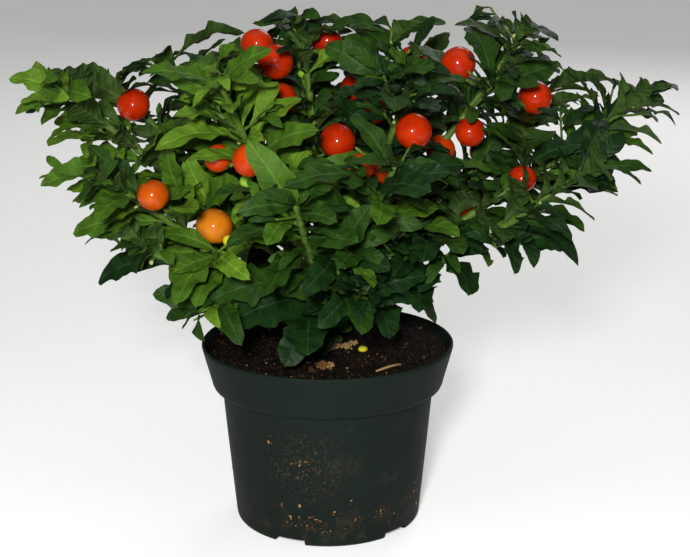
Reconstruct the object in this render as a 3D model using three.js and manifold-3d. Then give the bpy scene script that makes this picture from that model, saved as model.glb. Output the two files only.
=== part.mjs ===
// A Jerusalem cherry in its nursery pot: a low, wide evergreen shrub with lance-shaped leaves and round
// orange-red berries. Millimetres, +Z up, origin at the middle of the pot's flat underside. -Y is the front.
import * as THREE from "three";
import { mergeVertices } from "three/addons/utils/BufferGeometryUtils.js";
import Module from "manifold-3d";

const wasm = await Module();
wasm.setup();

// Driving dimensions.
const GAP = 0.3; // clearance between neighbouring solids
const SLIVER = 0.09; // edges shorter than this are closed up after a join or a cut
const POT = {
  height: 88,
  rimRadius: 60, // outside, at the lip
  bandFoot: 67, // height of the collar's lower edge
  bandFootRadius: 55.2,
  neckRadius: 50.6, // outside, just under the collar
  footRadius: 44.6,
  footRound: 3,
  wall: 1.3,
  base: 5,
  segments: 32,
  notches: 5,
  notchTurn: -114, // degrees: where the first notch under the foot is
  notchWidth: 16,
  notchDepth: 11,
  notchHeight: 3.4,
};
const SOIL = { edge: 84, top: 84.5, flat: 14 };
const TRUNK = { foot: SOIL.top + GAP, height: 50, flare: 7.4, radius: 4.8, topRadius: 2, lean: 2 };
const BOUGH = { radius: 1.8, tipRadius: 1.5, bare: 0.22, lowest: 5, highest: 34, room: 4 };
const STEM = { radius: 1.8, tipRadius: 1.2, internode: 13.5, tipInternode: 5.8 };
const TWIG = { radius: 1, tipRadius: 0.7, longest: 36, shortest: 20, internode: 10, tipInternode: 6 };
const TWIG_ABOVE = 5; // how far a twig's end stays above the crown's underside
const LEAF = { length: 48, tipLength: 25, width: 0.4, widest: 0.57, thickness: 0.021, root: 0.35, free: 3.2 };
const LEAF_TILT = { foot: 64, tip: 46, end: 26 }; // degrees away from a shoot, along it and at its very end
const LEAF_ARCH = { least: 0.25, most: 0.65, flat: 0.8 }; // shares of its length; it comes down again at flat
const LEAF_RISE = { low: 105, high: 155, least: -0.08, most: 0.08 }; // by the height of its root, in mm
const LEAF_SLOPE = { hanging: 0.2, rising: 0.75, lowest: -0.3 }; // shares kept of a slope down and of one up
// How a leaf's upper side turns: towards the end of its shoot, and away from a place behind the trunk.
const LEAF_FACE = { along: 0.5, away: 0.9, sideways: 0.5, behind: 45, roll: 22 };
// How low the crown hangs: at the left and back, the front and the right, where it is higher outside the
// pot. Further out than reach it climbs, and it dips where one spray hangs over the soil.
const UNDERSIDE = {
  left: 105,
  front: 108,
  right: 142,
  pot: 45, // the right is as low as the left up to here,
  open: 60, // and at its own height from here on
  reach: 85,
  climb: 1,
  rightClimb: 0.12,
};
const DIP = { azimuth: -107, width: 16, depth: 16 };
// How high leaf tips reach, from the crown's left end to its right: x and height. It slopes down to the back.
const TOPSIDE = [
  [-150, 216],
  [-90, 217],
  [-78, 229],
  [-56, 221],
  [-44, 237],
  [-12, 246],
  [12, 238],
  [24, 241],
  [100, 241],
  [116, 216],
  [150, 211],
];
const TOP_SLOPE = 0.1;
const BERRY = { radius: 8.2, stalk: 7, stalkRadius: 0.7, shares: [0.55, 0.82], light: 50, lightRadius: 5 };
const GOLDEN_TURN = 137.5;

// Each branch leaves the trunk on its own azimuth (0 is +X, 90 the back) and ends at a reach and a height.
// Berries are the number that hang from it beside the ones listed by place.
const BRANCHES = [
  { name: "left_long", azimuth: -177, reach: 124, height: 212 },
  { name: "left_low", azimuth: -156, reach: 108, height: 177 },
  { name: "low_left", azimuth: -150, reach: 92, height: 144 },
  { name: "upper_left", azimuth: 152, reach: 88, height: 218 },
  { name: "left_front", azimuth: -132, reach: 68, height: 220 },
  { name: "top", azimuth: 170, reach: 12, height: 241, leader: true },
  { name: "top_left", azimuth: -172, reach: 36, height: 224 },
  { name: "top_right", azimuth: 40, reach: 40, height: 233 },
  { name: "right_top", azimuth: 8, reach: 92, height: 232 },
  { name: "right_far", azimuth: 4, reach: 147, height: 203 },
  { name: "right_mid", azimuth: -12, reach: 124, height: 178 },
  { name: "right_low", azimuth: -28, reach: 99, height: 160 },
  { name: "low_right", azimuth: -30, reach: 66, height: 150 },
  { name: "front_right", azimuth: -69, reach: 80, height: 186 },
  { name: "front", azimuth: -98, reach: 86, height: 172 },
  { name: "inner_right", azimuth: -37, reach: 48, height: 222 },
  { name: "front_mid", azimuth: -84, reach: 54, height: 138 },
  { name: "front_low", azimuth: -107, reach: 32, height: 108 },
  { name: "front_low_right", azimuth: -50, reach: 56, height: 140 },
  { name: "back_left", azimuth: 125, reach: 112, height: 195, berries: 2 },
  { name: "back", azimuth: 97, reach: 120, height: 196, berries: 2 },
  { name: "back_right", azimuth: 66, reach: 116, height: 204, berries: 2 },
  { name: "far_right_back", azimuth: 26, reach: 130, height: 207, berries: 1 },
  { name: "low_back_left", azimuth: 160, reach: 90, height: 142, berries: 1 },
  { name: "low_back", azimuth: 112, reach: 84, height: 136, berries: 1 },
  { name: "low_back_right", azimuth: 68, reach: 84, height: 138, berries: 1 },
  { name: "low_right_back", azimuth: 20, reach: 92, height: 180, berries: 1 },
  { name: "inner_back", azimuth: 105, reach: 54, height: 218, berries: 1 },
  { name: "far_left_back", azimuth: 154, reach: 120, height: 207 },
];
// The berries seen from the front: the middle of each and its radius. Each hangs from the nearest stem,
// and the first list's are seen whole.
const OPEN_BERRIES = [
  [-93, 30, 196, 8],
  [-23, -7, 221, 8.2],
  [-32, 6, 227, 7.6],
  [5, -8, 185, 8.2],
  [60, 2, 219, 8],
  [38, -41, 195, 8.2],
  [66, 0, 188, 7.2],
  [97, 13, 202, 8],
  [-32, -61, 186, 7.2],
  [-75, -47, 168, 7],
  [-50, -33, 151, 8.2],
];
const TUCKED_BERRIES = [
  [-21, 3, 203, 7.4],
  [0, 11, 228, 7],
  [53, 10, 178, 7],
  [-47, -40, 183, 6.4],
  [15, -55, 182, 6.2],
  [27, -38, 177, 6.2],
  [88, -21, 170, 6.6],
  [40, 23, 218, 7],
  [13, 25, 205, 7],
  [21, 11, 196, 7],
];
// The leaves that hang low over the soil and the lip: the branch, how far along its stem, and where to.
const LOW_LEAVES = [
  { branch: "front_low", share: 0.9, tip: [-17, -51, 92] },
  { branch: "right_mid", share: 0.04, tip: [53, -12, 102] },
  { branch: "front_low_right", share: 0.2, tip: [31, -38, 103] },
  { branch: "low_left", share: 0.2, tip: [-52, -28, 106] },
  { branch: "right_low", share: 0.85, tip: [111, -54, 144] },
];
const FRONT_VIEW = new THREE.Vector3(8, -685, 302); // where the berries are seen from

const CURVE = { outward: 0.48, bulge: 8, rise: 0.5 }; // a branch's knee: shares of reach and climb, and mm

const COLOURS = { pot: "#232a29", soil: "#1c1410", bark: "#6d6a3c", bough: "#4f7a2c", foliage: "#2f6a1c" };

const UP = new THREE.Vector3(0, 0, 1);
const radians = THREE.MathUtils.degToRad;
const mix = THREE.MathUtils.lerp;

// Park-Miller numbers: one seed always grows the same plant.
class Dice {
  constructor(seed) {
    this.state = seed;
  }
  between(low, high) {
    this.state = (this.state * 48271) % 2147483647;
    return low + ((high - low) * this.state) / 2147483647;
  }
}

// Geometry and solids.

function solidOf(geometry) {
  const bare = new THREE.BufferGeometry().setAttribute("position", geometry.getAttribute("position"));
  bare.setIndex(geometry.getIndex());
  const merged = mergeVertices(bare, 1e-3);
  return new wasm.Manifold(
    new wasm.Mesh({
      numProp: 3,
      vertProperties: new Float32Array(merged.attributes.position.array),
      triVerts: new Uint32Array(merged.index.array),
    }),
  );
}

function geometryOf(solid) {
  const mesh = solid.getMesh();
  return new THREE.BufferGeometry()
    .setAttribute("position", new THREE.BufferAttribute(mesh.vertProperties, 3))
    .setIndex(new THREE.BufferAttribute(mesh.triVerts, 1));
}

// Moves every vertex of a geometry to where place(x, y, z) says.
function bend(geometry, place) {
  const position = geometry.getAttribute("position");
  for (let i = 0; i < position.count; i++) {
    const p = place(position.getX(i), position.getY(i), position.getZ(i));
    position.setXYZ(i, p.x, p.y, p.z);
  }
  return geometry;
}

// Across is square to the curve's start and level, and carries along it without twisting.
function frameAt(curve, u) {
  const start = curve.getTangent(0);
  const level = new THREE.Vector3().crossVectors(UP, start);
  if (level.length() < 0.05) level.set(1, 0, 0);
  const along = curve.getTangent(u);
  const across = level.addScaledVector(along, -level.dot(along)).normalize();
  const over = new THREE.Vector3().crossVectors(across, along);
  return { point: curve.getPoint(u), along, across, over };
}

// A closed tapering rod along a curve.
function rod(curve, radiusAt, sides, rings) {
  return bend(new THREE.CylinderGeometry(1, 1, 1, sides, rings), (x, y, z) => {
    const u = y + 0.5;
    const { point, across, over } = frameAt(curve, u);
    const r = radiusAt(u);
    return point.addScaledVector(across, x * r).addScaledVector(over, z * r);
  });
}

// A closed leaf of eight faces: a kite from root to tip, thickest in the middle, arched and folded.
function leafGeometry(leaf, extra = 0, from = 0) {
  const { root, along, over, length } = leaf;
  const side = new THREE.Vector3().crossVectors(along, over);
  const half = (length * leaf.width) / 2 + extra;
  const thick = (length * LEAF.thickness) / 2 + extra;
  return bend(new THREE.SphereGeometry(1, 4, 2), (x, y, z) => {
    const u = mix(from, 1 + extra / length, (x + 1) / 2 + (LEAF.widest - 0.5) * (1 - x * x));
    const lift = Math.abs(z) * half * leaf.fold + leaf.arch * length * u * (LEAF_ARCH.flat - u);
    return root
      .clone()
      .addScaledVector(along, length * u)
      .addScaledVector(side, z * half)
      .addScaledVector(over, lift + y * thick);
  });
}

// A skin is what the growth tests for room: a surface as loose triangles, with its box.
function skinOf(geometry) {
  const flat = geometry.index ? geometry.toNonIndexed() : geometry;
  const corners = Float64Array.from(flat.getAttribute("position").array);
  const box = new THREE.Box3().setFromArray(corners);
  return { corners, box };
}

// Whether the segment from corner p to corner q of one skin passes through a triangle of another.
function pierces(a, p, q, b, t) {
  const ox = a[p], oy = a[p + 1], oz = a[p + 2];
  const dx = a[q] - ox, dy = a[q + 1] - oy, dz = a[q + 2] - oz;
  const ax = b[t], ay = b[t + 1], az = b[t + 2];
  const ux = b[t + 3] - ax, uy = b[t + 4] - ay, uz = b[t + 5] - az;
  const vx = b[t + 6] - ax, vy = b[t + 7] - ay, vz = b[t + 8] - az;
  const hx = dy * vz - dz * vy, hy = dz * vx - dx * vz, hz = dx * vy - dy * vx;
  const det = ux * hx + uy * hy + uz * hz;
  if (Math.abs(det) < 1e-12) return false;
  const sx = ox - ax, sy = oy - ay, sz = oz - az;
  const m = (sx * hx + sy * hy + sz * hz) / det;
  if (m < 0 || m > 1) return false;
  const kx = sy * uz - sz * uy, ky = sz * ux - sx * uz, kz = sx * uy - sy * ux;
  const n = (dx * kx + dy * ky + dz * kz) / det;
  if (n < 0 || m + n > 1) return false;
  const s = (vx * kx + vy * ky + vz * kz) / det;
  return s >= 0 && s <= 1;
}

function cross(one, other) {
  if (!one.box.intersectsBox(other.box)) return false;
  const a = one.corners, b = other.corners;
  for (let i = 0; i < a.length; i += 9)
    for (let j = 0; j < b.length; j += 9)
      for (let e = 0; e < 9; e += 3) {
        const next = (e + 3) % 9;
        if (pierces(a, i + e, i + next, b, j) || pierces(b, j + e, j + next, a, i)) return true;
      }
  return false;
}

// The pot and its soil.

function turned(points, segments) {
  const profile = points.map(([radius, height]) => new THREE.Vector2(radius, height));
  return new THREE.LatheGeometry(profile, segments).rotateX(Math.PI / 2);
}

// The foot's rounded corner, from the underside out to the wall.
function footCorner() {
  const steps = 2;
  return Array.from({ length: steps + 1 }, (_, i) => {
    const turn = (i / steps) * (Math.PI / 2);
    return [
      POT.footRadius - POT.footRound * (1 - Math.sin(turn)),
      POT.footRound * (1 - Math.cos(turn)),
    ];
  });
}

function potSolid() {
  const { height, rimRadius, bandFoot, bandFootRadius, neckRadius, wall, base } = POT;
  const shell = solidOf(
    turned(
      [
        [0, 0],
        ...footCorner(),
        [neckRadius, bandFoot],
        [bandFootRadius - 1.5, bandFoot],
        [bandFootRadius, bandFoot + 2.2],
        [rimRadius, height - 1],
        [rimRadius - 0.4, height],
        [rimRadius - wall, height],
        [neckRadius - wall, bandFoot],
        [POT.footRadius - wall, base],
        [0, base],
      ],
      POT.segments,
    ),
  );
  let pot = shell;
  for (let i = 0; i < POT.notches; i++) {
    const turn = radians(POT.notchTurn + (360 / POT.notches) * i);
    const notch = new THREE.BoxGeometry(2 * POT.notchDepth, POT.notchWidth, 2 * POT.notchHeight);
    pot = pot.subtract(solidOf(notch.translate(POT.footRadius, 0, 0).rotateZ(turn)));
  }
  return pot;
}

function soilSolid() {
  const { bandFoot, neckRadius, rimRadius, wall, base, footRadius, height } = POT;
  const inside = wall + GAP;
  const share = (SOIL.edge - bandFoot) / (height - bandFoot);
  return solidOf(
    turned(
      [
        [0, base + GAP],
        [footRadius - inside, base + GAP],
        [neckRadius - inside, bandFoot],
        [mix(neckRadius, rimRadius, share) - inside, SOIL.edge],
        [SOIL.flat, SOIL.top],
        [0, SOIL.top],
      ],
      POT.segments,
    ),
  );
}

// The trunk and the branches' lines.

const trunkTop = TRUNK.foot + TRUNK.height;
const trunkLine = new THREE.QuadraticBezierCurve3(
  new THREE.Vector3(0, 0, TRUNK.foot),
  new THREE.Vector3(0, 0, TRUNK.foot + TRUNK.height / 2),
  new THREE.Vector3(-TRUNK.lean, TRUNK.lean, trunkTop),
);
function trunkRadius(u) {
  const flare = (TRUNK.flare - TRUNK.radius) * Math.max(0, 1 - 4 * u) ** 2;
  return mix(TRUNK.radius, TRUNK.topRadius, u) + flare;
}

function branchLine(branch, startHeight) {
  const out = new THREE.Vector3(Math.cos(radians(branch.azimuth)), Math.sin(radians(branch.azimuth)), 0);
  const start = trunkLine.getPoint(startHeight / TRUNK.height);
  const tip = out.clone().multiplyScalar(branch.reach).setZ(branch.height);
  const knee = out.clone().multiplyScalar(branch.reach * CURVE.outward + (branch.leader ? 0 : CURVE.bulge));
  knee.z = mix(start.z, tip.z, CURVE.rise);
  return new THREE.QuadraticBezierCurve3(start, knee, tip);
}

// The leader goes on from the trunk's top. Of the others, the flatter one runs, the lower on the trunk it
// starts, and it starts above what is in its way.
function branchLines(branches) {
  const slope = (b) => (b.leader ? Infinity : (b.height - TRUNK.foot) / b.reach);
  const steepening = [...branches].sort((a, b) => slope(a) - slope(b));
  const lines = new Map();
  const taken = [];
  for (const [i, branch] of steepening.entries()) {
    let height = branch.leader ? TRUNK.height : mix(BOUGH.lowest, BOUGH.highest, i / branches.length);
    let line, points;
    do {
      line = branchLine(branch, height);
      points = line.getPoints(80).slice(0, 30).filter((p) => Math.hypot(p.x, p.y) > 0.7 * TRUNK.radius);
      height += 0.5;
    } while (height < TRUNK.height && points.some((p) => taken.some((q) => p.distanceTo(q) < BOUGH.room)));
    lines.set(branch.name, line);
    taken.push(...points);
  }
  return lines;
}

// The part of a curve between two shares of it, as a curve.
class Stretch extends THREE.Curve {
  constructor(curve, from, to) {
    super();
    Object.assign(this, { curve, from, to });
  }
  getPoint(u) {
    return this.curve.getPoint(mix(this.from, this.to, u));
  }
  getTangent(u) {
    return this.curve.getTangent(mix(this.from, this.to, u));
  }
}

// Growth.

const trunkSkin = skinOf(rod(trunkLine, (u) => trunkRadius(u) + GAP, 8, 5));
const rimSkin = skinOf(
  turned(
    [
      [POT.rimRadius + 1.5, POT.height + 1.5],
      [POT.rimRadius - 4, POT.height + 1.5],
      [POT.rimRadius - 6, SOIL.edge + 1],
      [0, SOIL.top + 1],
    ],
    24,
  ),
);

const placed = []; // everything that grows, with its skins and the foliage that it belongs to

// Whether a new piece has room: its whole skin against other masses, its blade against its own.
function hasRoom(owner, full, blade) {
  if (cross(full, trunkSkin) || cross(full, rimSkin)) return false;
  return !placed.some((p) => (p.owner === owner ? cross(blade, p.blade) : cross(full, p.full)));
}

function place(owner, full, blade = full) {
  placed.push({ owner, full, blade });
}

// The direction that lies turn degrees round a stem and tilt degrees away from its run.
function directionAt(frame, turn, tilt) {
  const away = frame.across
    .clone()
    .multiplyScalar(Math.cos(radians(turn)))
    .addScaledVector(frame.over, Math.sin(radians(turn)));
  return away
    .multiplyScalar(Math.sin(radians(tilt)))
    .addScaledVector(frame.along, Math.cos(radians(tilt)))
    .normalize();
}

// How high a leaf may reach at a place.
function topside({ x, y }) {
  const next = TOPSIDE.findIndex(([at]) => at > x);
  if (next < 1) return TOPSIDE.at(next)[1] - TOP_SLOPE * y;
  const [[left, start], [right, end]] = TOPSIDE.slice(next - 1, next + 1);
  return mix(start, end, (x - left) / (right - left)) - TOP_SLOPE * y;
}

// The run of a leaf that turns and tilts away from its shoot: flatter than that if steep, and under the top.
function runOf(frame, turn, tilt, length) {
  const run = directionAt(frame, turn, tilt);
  const height = (frame.point.z - LEAF_RISE.low) / (LEAF_RISE.high - LEAF_RISE.low);
  const kept = run.z < 0 ? LEAF_SLOPE.hanging : LEAF_SLOPE.rising;
  const slope = kept * run.z + mix(LEAF_RISE.least, LEAF_RISE.most, THREE.MathUtils.clamp(height, 0, 1));
  run.setZ(0).normalize();
  const end = frame.point.clone().addScaledVector(run, length);
  const steepest = (topside(end) - frame.point.z) / length;
  const rise = Math.min(slope, Math.max(steepest, LEAF_SLOPE.lowest));
  return run.multiplyScalar(Math.sqrt(1 - rise * rise)).setZ(rise);
}

// A leaf turns its upper side to the sky, to the end of its shoot and away from the crown's middle.
function leafAt(frame, along, length, dice) {
  const { x, y } = frame.point;
  const away = new THREE.Vector3(LEAF_FACE.sideways * x, y - LEAF_FACE.behind, 0).normalize();
  const sky = away.multiplyScalar(LEAF_FACE.away).addScaledVector(frame.along, LEAF_FACE.along).add(UP);
  const over = sky.addScaledVector(along, -sky.dot(along)).normalize();
  over.applyAxisAngle(along, radians(dice.between(-LEAF_FACE.roll, LEAF_FACE.roll)));
  return {
    root: frame.point.clone().addScaledVector(along, -LEAF.root),
    along,
    over,
    length,
    width: LEAF.width * dice.between(0.85, 1.15),
    arch: dice.between(LEAF_ARCH.least, LEAF_ARCH.most),
    fold: dice.between(0.12, 0.4),
  };
}

// How low a leaf may hang at a place.
function underside(point) {
  const { left, front, right, pot, open, reach, climb, rightClimb } = UNDERSIDE;
  const out = Math.hypot(point.x, point.y);
  const toRight = Math.max(0, point.x / out) ** 2;
  const toFront = Math.max(0, -point.y / out) ** 2;
  const outside = THREE.MathUtils.clamp((out - pot) / (open - pot), 0, 1);
  const off = Math.abs(THREE.MathUtils.radToDeg(Math.atan2(point.y, point.x)) - DIP.azimuth) / DIP.width;
  const lowest = left + (right - left) * toRight * outside + (front - left) * toFront;
  return lowest + mix(climb, rightClimb, toRight) * Math.max(0, out - reach) - (off < 1 ? DIP.depth : 0);
}

function tipOf({ root, along, over, length, arch }) {
  return root
    .clone()
    .addScaledVector(along, length)
    .addScaledVector(over, (LEAF_ARCH.flat - 1) * arch * length);
}

// Tries a leaf as it falls, then turned, raised or smaller, and keeps the first that has room.
function tryLeaf(mass, frame, turn, tilt, length) {
  const tries = [
    [0, 0, 1], [24, 0, 1], [-24, 0, 1], [0, -16, 1], [0, 18, 0.95],
    [48, -8, 0.9], [-48, -8, 0.9], [14, 10, 0.76], [-14, -20, 0.76], [0, -24, 0.62],
  ];
  for (const [swing, raise, size] of tries) {
    const run = runOf(frame, turn + swing, tilt + raise, length * size);
    const leaf = leafAt(frame, run, length * size, mass.dice);
    const tip = tipOf(leaf);
    if (tip.z < underside(tip)) continue;
    const full = skinOf(leafGeometry(leaf, 0.4));
    const blade = skinOf(leafGeometry(leaf, 0.2, LEAF.free / leaf.length));
    if (!hasRoom(mass.name, full, blade)) continue;
    place(mass.name, full, blade);
    mass.leaves.push(leaf);
    return;
  }
}

function hangLowLeaves(masses) {
  for (const { branch, share, tip } of LOW_LEAVES) {
    const mass = masses.find(({ name }) => name === branch);
    const frame = frameAt(mass.stem, share);
    const run = new THREE.Vector3(...tip).sub(frame.point);
    const leaf = leafAt(frame, run.clone().normalize(), run.length(), mass.dice);
    const blade = leafGeometry(leaf, 0.2, LEAF.free / leaf.length);
    place(mass.name, skinOf(leafGeometry(leaf, 0.4)), skinOf(blade));
    mass.leaves.push(leaf);
  }
}

function twigLine(frame, turn, length) {
  const start = frame.point.clone();
  const run = directionAt(frame, turn, 48);
  run.z = run.z < 0 ? 0.5 * run.z : run.z + 0.1;
  const end = start.clone().addScaledVector(run.normalize(), length);
  const knee = start.clone().addScaledVector(run, 0.5 * length);
  end.z += 0.12 * length;
  return new THREE.QuadraticBezierCurve3(start, knee, end);
}

function tryTwig(mass, frame, turn, length) {
  for (const swing of [0, 30, -30, 60, -60, 90]) {
    const line = twigLine(frame, turn + swing, length);
    if (line.v2.z < underside(line.v2) + TWIG_ABOVE) continue;
    const radiusAt = (u) => mix(TWIG.radius, TWIG.tipRadius, u);
    const full = skinOf(rod(line, (u) => radiusAt(u) + 0.4, 3, 2));
    const free = new Stretch(line, LEAF.free / length, 1);
    const blade = skinOf(rod(free, (u) => radiusAt(u) + 0.2, 3, 2));
    if (!hasRoom(mass.name, full, blade)) continue;
    place(mass.name, full, blade);
    mass.twigs.push({ line, radiusAt });
    return line;
  }
  return null;
}

// A berry and its stalk from a point of the mass's stem.
function berryOn(mass, from, centre, radius) {
  const skin = (extra) => skinOf(berryGeometry(centre, radius + extra));
  return { stalk: new THREE.LineCurve3(from, centre), centre, radius, full: skin(0.4), blade: skin(0.2) };
}

function berryGeometry(centre, radius) {
  return new THREE.SphereGeometry(radius, 6, 4).translate(...centre.toArray());
}

function hang(mass, berry) {
  place(mass.name, berry.full, berry.blade);
  mass.berries.push(berry);
}

// Hangs the listed berries, and keeps the light that falls on the open ones from the front.
function hangSeenBerries(masses) {
  for (const list of [OPEN_BERRIES, TUCKED_BERRIES])
    for (const [x, y, z, radius] of list) {
      const centre = new THREE.Vector3(x, y, z);
      const points = masses.flatMap((mass) =>
        mass.stem.getPoints(40).map((point) => ({ mass, point, away: point.distanceTo(centre) })),
      );
      const nearest = points.reduce((a, b) => (a.away < b.away ? a : b));
      hang(nearest.mass, berryOn(nearest.mass, nearest.point, centre, radius));
      if (list === TUCKED_BERRIES) continue;
      const ray = FRONT_VIEW.clone().sub(centre).normalize();
      const near = centre.clone().addScaledVector(ray, radius + 1);
      const far = centre.clone().addScaledVector(ray, radius + BERRY.light);
      const light = skinOf(rod(new THREE.LineCurve3(near, far), () => BERRY.lightRadius, 5, 1));
      place("light", light);
    }
}

// The rest hang from their branches on short stalks, where there is room.
function hangBerries(mass, dice) {
  for (let i = 0; i < (mass.berryCount ?? 0); i++) {
    const frame = frameAt(mass.stem, BERRY.shares[i]);
    for (let k = 0; k < 12; k++) {
      const run = directionAt(frame, dice.between(0, 360), 80);
      const radius = BERRY.radius * dice.between(0.85, 1.05);
      const centre = frame.point.clone().addScaledVector(run, BERRY.stalk + radius);
      const berry = berryOn(mass, frame.point, centre, radius);
      if (!hasRoom(mass.name, berry.full, berry.blade)) continue;
      hang(mass, berry);
      break;
    }
  }
}

// The distances along a shoot at which it bears something: closer together towards its tip.
function jointsOf(length, { internode, tipInternode }) {
  const joints = [];
  for (let at = 4; at < length - 2; at += mix(internode, tipInternode, at / length)) joints.push(at);
  return joints;
}

// The leaves of one shoot, spiralling and shorter towards its tip, with one more at the very end.
function* leafShoot(mass, shoot, length, largest, spacing, bearTwig) {
  const { dice } = mass;
  let turn = dice.between(0, 360);
  const joints = jointsOf(length, spacing);
  for (let i = 0; i < joints.length; i++) {
    turn += GOLDEN_TURN;
    const share = joints[i] / length;
    const frame = frameAt(shoot, share);
    const size = mix(largest, LEAF.tipLength, Math.max(0, share - 0.4) / 0.6) * dice.between(0.85, 1.12);
    tryLeaf(mass, frame, turn, mix(LEAF_TILT.foot, LEAF_TILT.tip, share), size);
    if (bearTwig && i % 4 === 1) yield* bearTwig(share + 0.4 * (spacing.internode / length), turn + 60);
    yield;
  }
  tryLeaf(mass, frameAt(shoot, 1 - 1 / length), turn, LEAF_TILT.end, 0.8 * LEAF.tipLength);
}

// The steps in which one mass grows: its stem's leaves, and a leafy twig at every fourth joint.
function* growth(mass) {
  const length = mass.stem.curve.getLength() * (mass.stem.to - mass.stem.from);
  function* bearTwig(share, turn) {
    if (share > 0.85) return;
    const twigLength = mix(TWIG.longest, TWIG.shortest, share) * mass.dice.between(0.85, 1.1);
    const line = tryTwig(mass, frameAt(mass.stem, share), turn, twigLength);
    if (line) yield* leafShoot(mass, line, twigLength, 0.8 * LEAF.length, TWIG);
  }
  yield* leafShoot(mass, mass.stem, length, LEAF.length, STEM, bearTwig);
}

function growPlant() {
  const lines = branchLines(BRANCHES);
  const masses = BRANCHES.map((branch, i) => {
    const line = lines.get(branch.name);
    const bare = branch.leader ? 0 : BOUGH.bare;
    return {
      name: branch.name,
      berryCount: branch.berries,
      line,
      dice: new Dice(1000 + 77 * i),
      bough: branch.leader ? null : new Stretch(line, 0, bare),
      stem: new Stretch(line, bare + GAP / line.getLength(), 1),
      twigs: [],
      leaves: [],
      berries: [],
    };
  });
  for (const mass of masses) {
    place(mass.name, skinOf(rod(mass.stem, (u) => mix(STEM.radius, STEM.tipRadius, u) + 0.4, 3, 5)));
    if (mass.bough) place("boughs", skinOf(rod(mass.bough, () => BOUGH.radius + 0.4, 5, 3)));
  }
  hangSeenBerries(masses);
  for (const mass of masses) hangBerries(mass, mass.dice);
  hangLowLeaves(masses);
  let running = masses.map(growth);
  while (running.length) running = running.filter((steps) => !steps.next().done);
  return masses;
}

// Whether each edge lies between two faces once vertices in the same place are made one.
function isClosed(solid) {
  const { index } = mergeVertices(geometryOf(solid), 1e-3);
  const facesAt = new Map();
  for (let i = 0; i < index.count; i += 3) {
    const [a, b, c] = index.array.slice(i, i + 3);
    if (a === b || b === c || c === a) continue;
    for (const [p, q] of [[a, b], [b, c], [c, a]]) {
      const edge = p < q ? `${p} ${q}` : `${q} ${p}`;
      facesAt.set(edge, (facesAt.get(edge) ?? 0) + 1);
    }
  }
  return [...facesAt.values()].every((faces) => faces === 2);
}

// One solid for each mass: what grew is joined to the stem, and a scrap that doesn't reach it is dropped.
// If leaves only just touch, the first whose loss closes the solid is left out.
function foliageSolid(mass) {
  const pieces = [rod(mass.stem, (u) => mix(STEM.radius, STEM.tipRadius, u), 3, 3)];
  for (const twig of mass.twigs) pieces.push(rod(twig.line, twig.radiusAt, 3, 2));
  for (const { stalk, centre, radius } of mass.berries) {
    pieces.push(rod(stalk, () => BERRY.stalkRadius, 3, 1));
    pieces.push(berryGeometry(centre, radius));
  }
  for (const spare of [null, ...mass.leaves]) {
    const leaves = mass.leaves.filter((leaf) => leaf !== spare).map((leaf) => leafGeometry(leaf));
    const joined = wasm.Manifold.union([...pieces, ...leaves].map(solidOf));
    const solid = largestBody(joined.simplify(SLIVER));
    if (isClosed(solid)) return solid;
  }
  throw new Error(`foliage_${mass.name} doesn't close`);
}

function largestBody(solid) {
  return solid.decompose().sort((a, b) => b.volume() - a.volume())[0];
}

// A bough starts in the trunk's axis, and is cut off just clear of the bark and of the boughs made before it.
function boughSolid(mass, made) {
  const taper = (extra) => (u) => mix(BOUGH.radius, BOUGH.tipRadius, u) + extra;
  const start = mass.bough.getPoint(0);
  const out = mass.bough.getTangent(0).setZ(0).normalize();
  const bark = out.dot(start) + trunkRadius((start.z - TRUNK.foot) / TRUNK.height);
  const outside = (extra) => {
    const whole = solidOf(rod(mass.bough, taper(extra), 5, 2));
    return whole.trimByPlane(out.toArray(), bark + GAP);
  };
  const solid = made.reduce((left, room) => left.subtract(room), outside(0));
  made.push(outside(GAP));
  return largestBody(solid.simplify(SLIVER));
}

// The plant as a scene of named parts.

function material(colour, roughness) {
  return new THREE.MeshStandardMaterial({ color: colour, roughness, metalness: 0 });
}
const MATERIALS = {
  pot: material(COLOURS.pot, 0.5),
  soil: material(COLOURS.soil, 0.95),
  bark: material(COLOURS.bark, 0.8),
  bough: material(COLOURS.bough, 0.6),
  foliage: material(COLOURS.foliage, 0.45),
};

const plant = new THREE.Group();
plant.name = "potted_jerusalem_cherry";
function add(name, solid, finish) {
  const mesh = new THREE.Mesh(geometryOf(solid), MATERIALS[finish]);
  mesh.name = name;
  plant.add(mesh);
}

add("pot", potSolid(), "pot");
add("soil", soilSolid(), "soil");
add("trunk", solidOf(rod(trunkLine, trunkRadius, 9, 5)), "bark");

const boughsMade = [];
for (const mass of growPlant()) {
  if (mass.bough) add("bough_" + mass.name, boughSolid(mass, boughsMade), "bough");
  add("foliage_" + mass.name, foliageSolid(mass), "foliage");
}

export default plant;
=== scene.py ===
"""A Jerusalem cherry in its nursery pot: a low, wide evergreen shrub with round orange-red berries.

Metres, +Z up, the photographed side towards -Y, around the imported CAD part.
"""

import math

import bmesh
import bpy
import numpy as np
from mathutils import Matrix, Quaternion, Vector, noise
from mathutils.bvhtree import BVHTree


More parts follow.
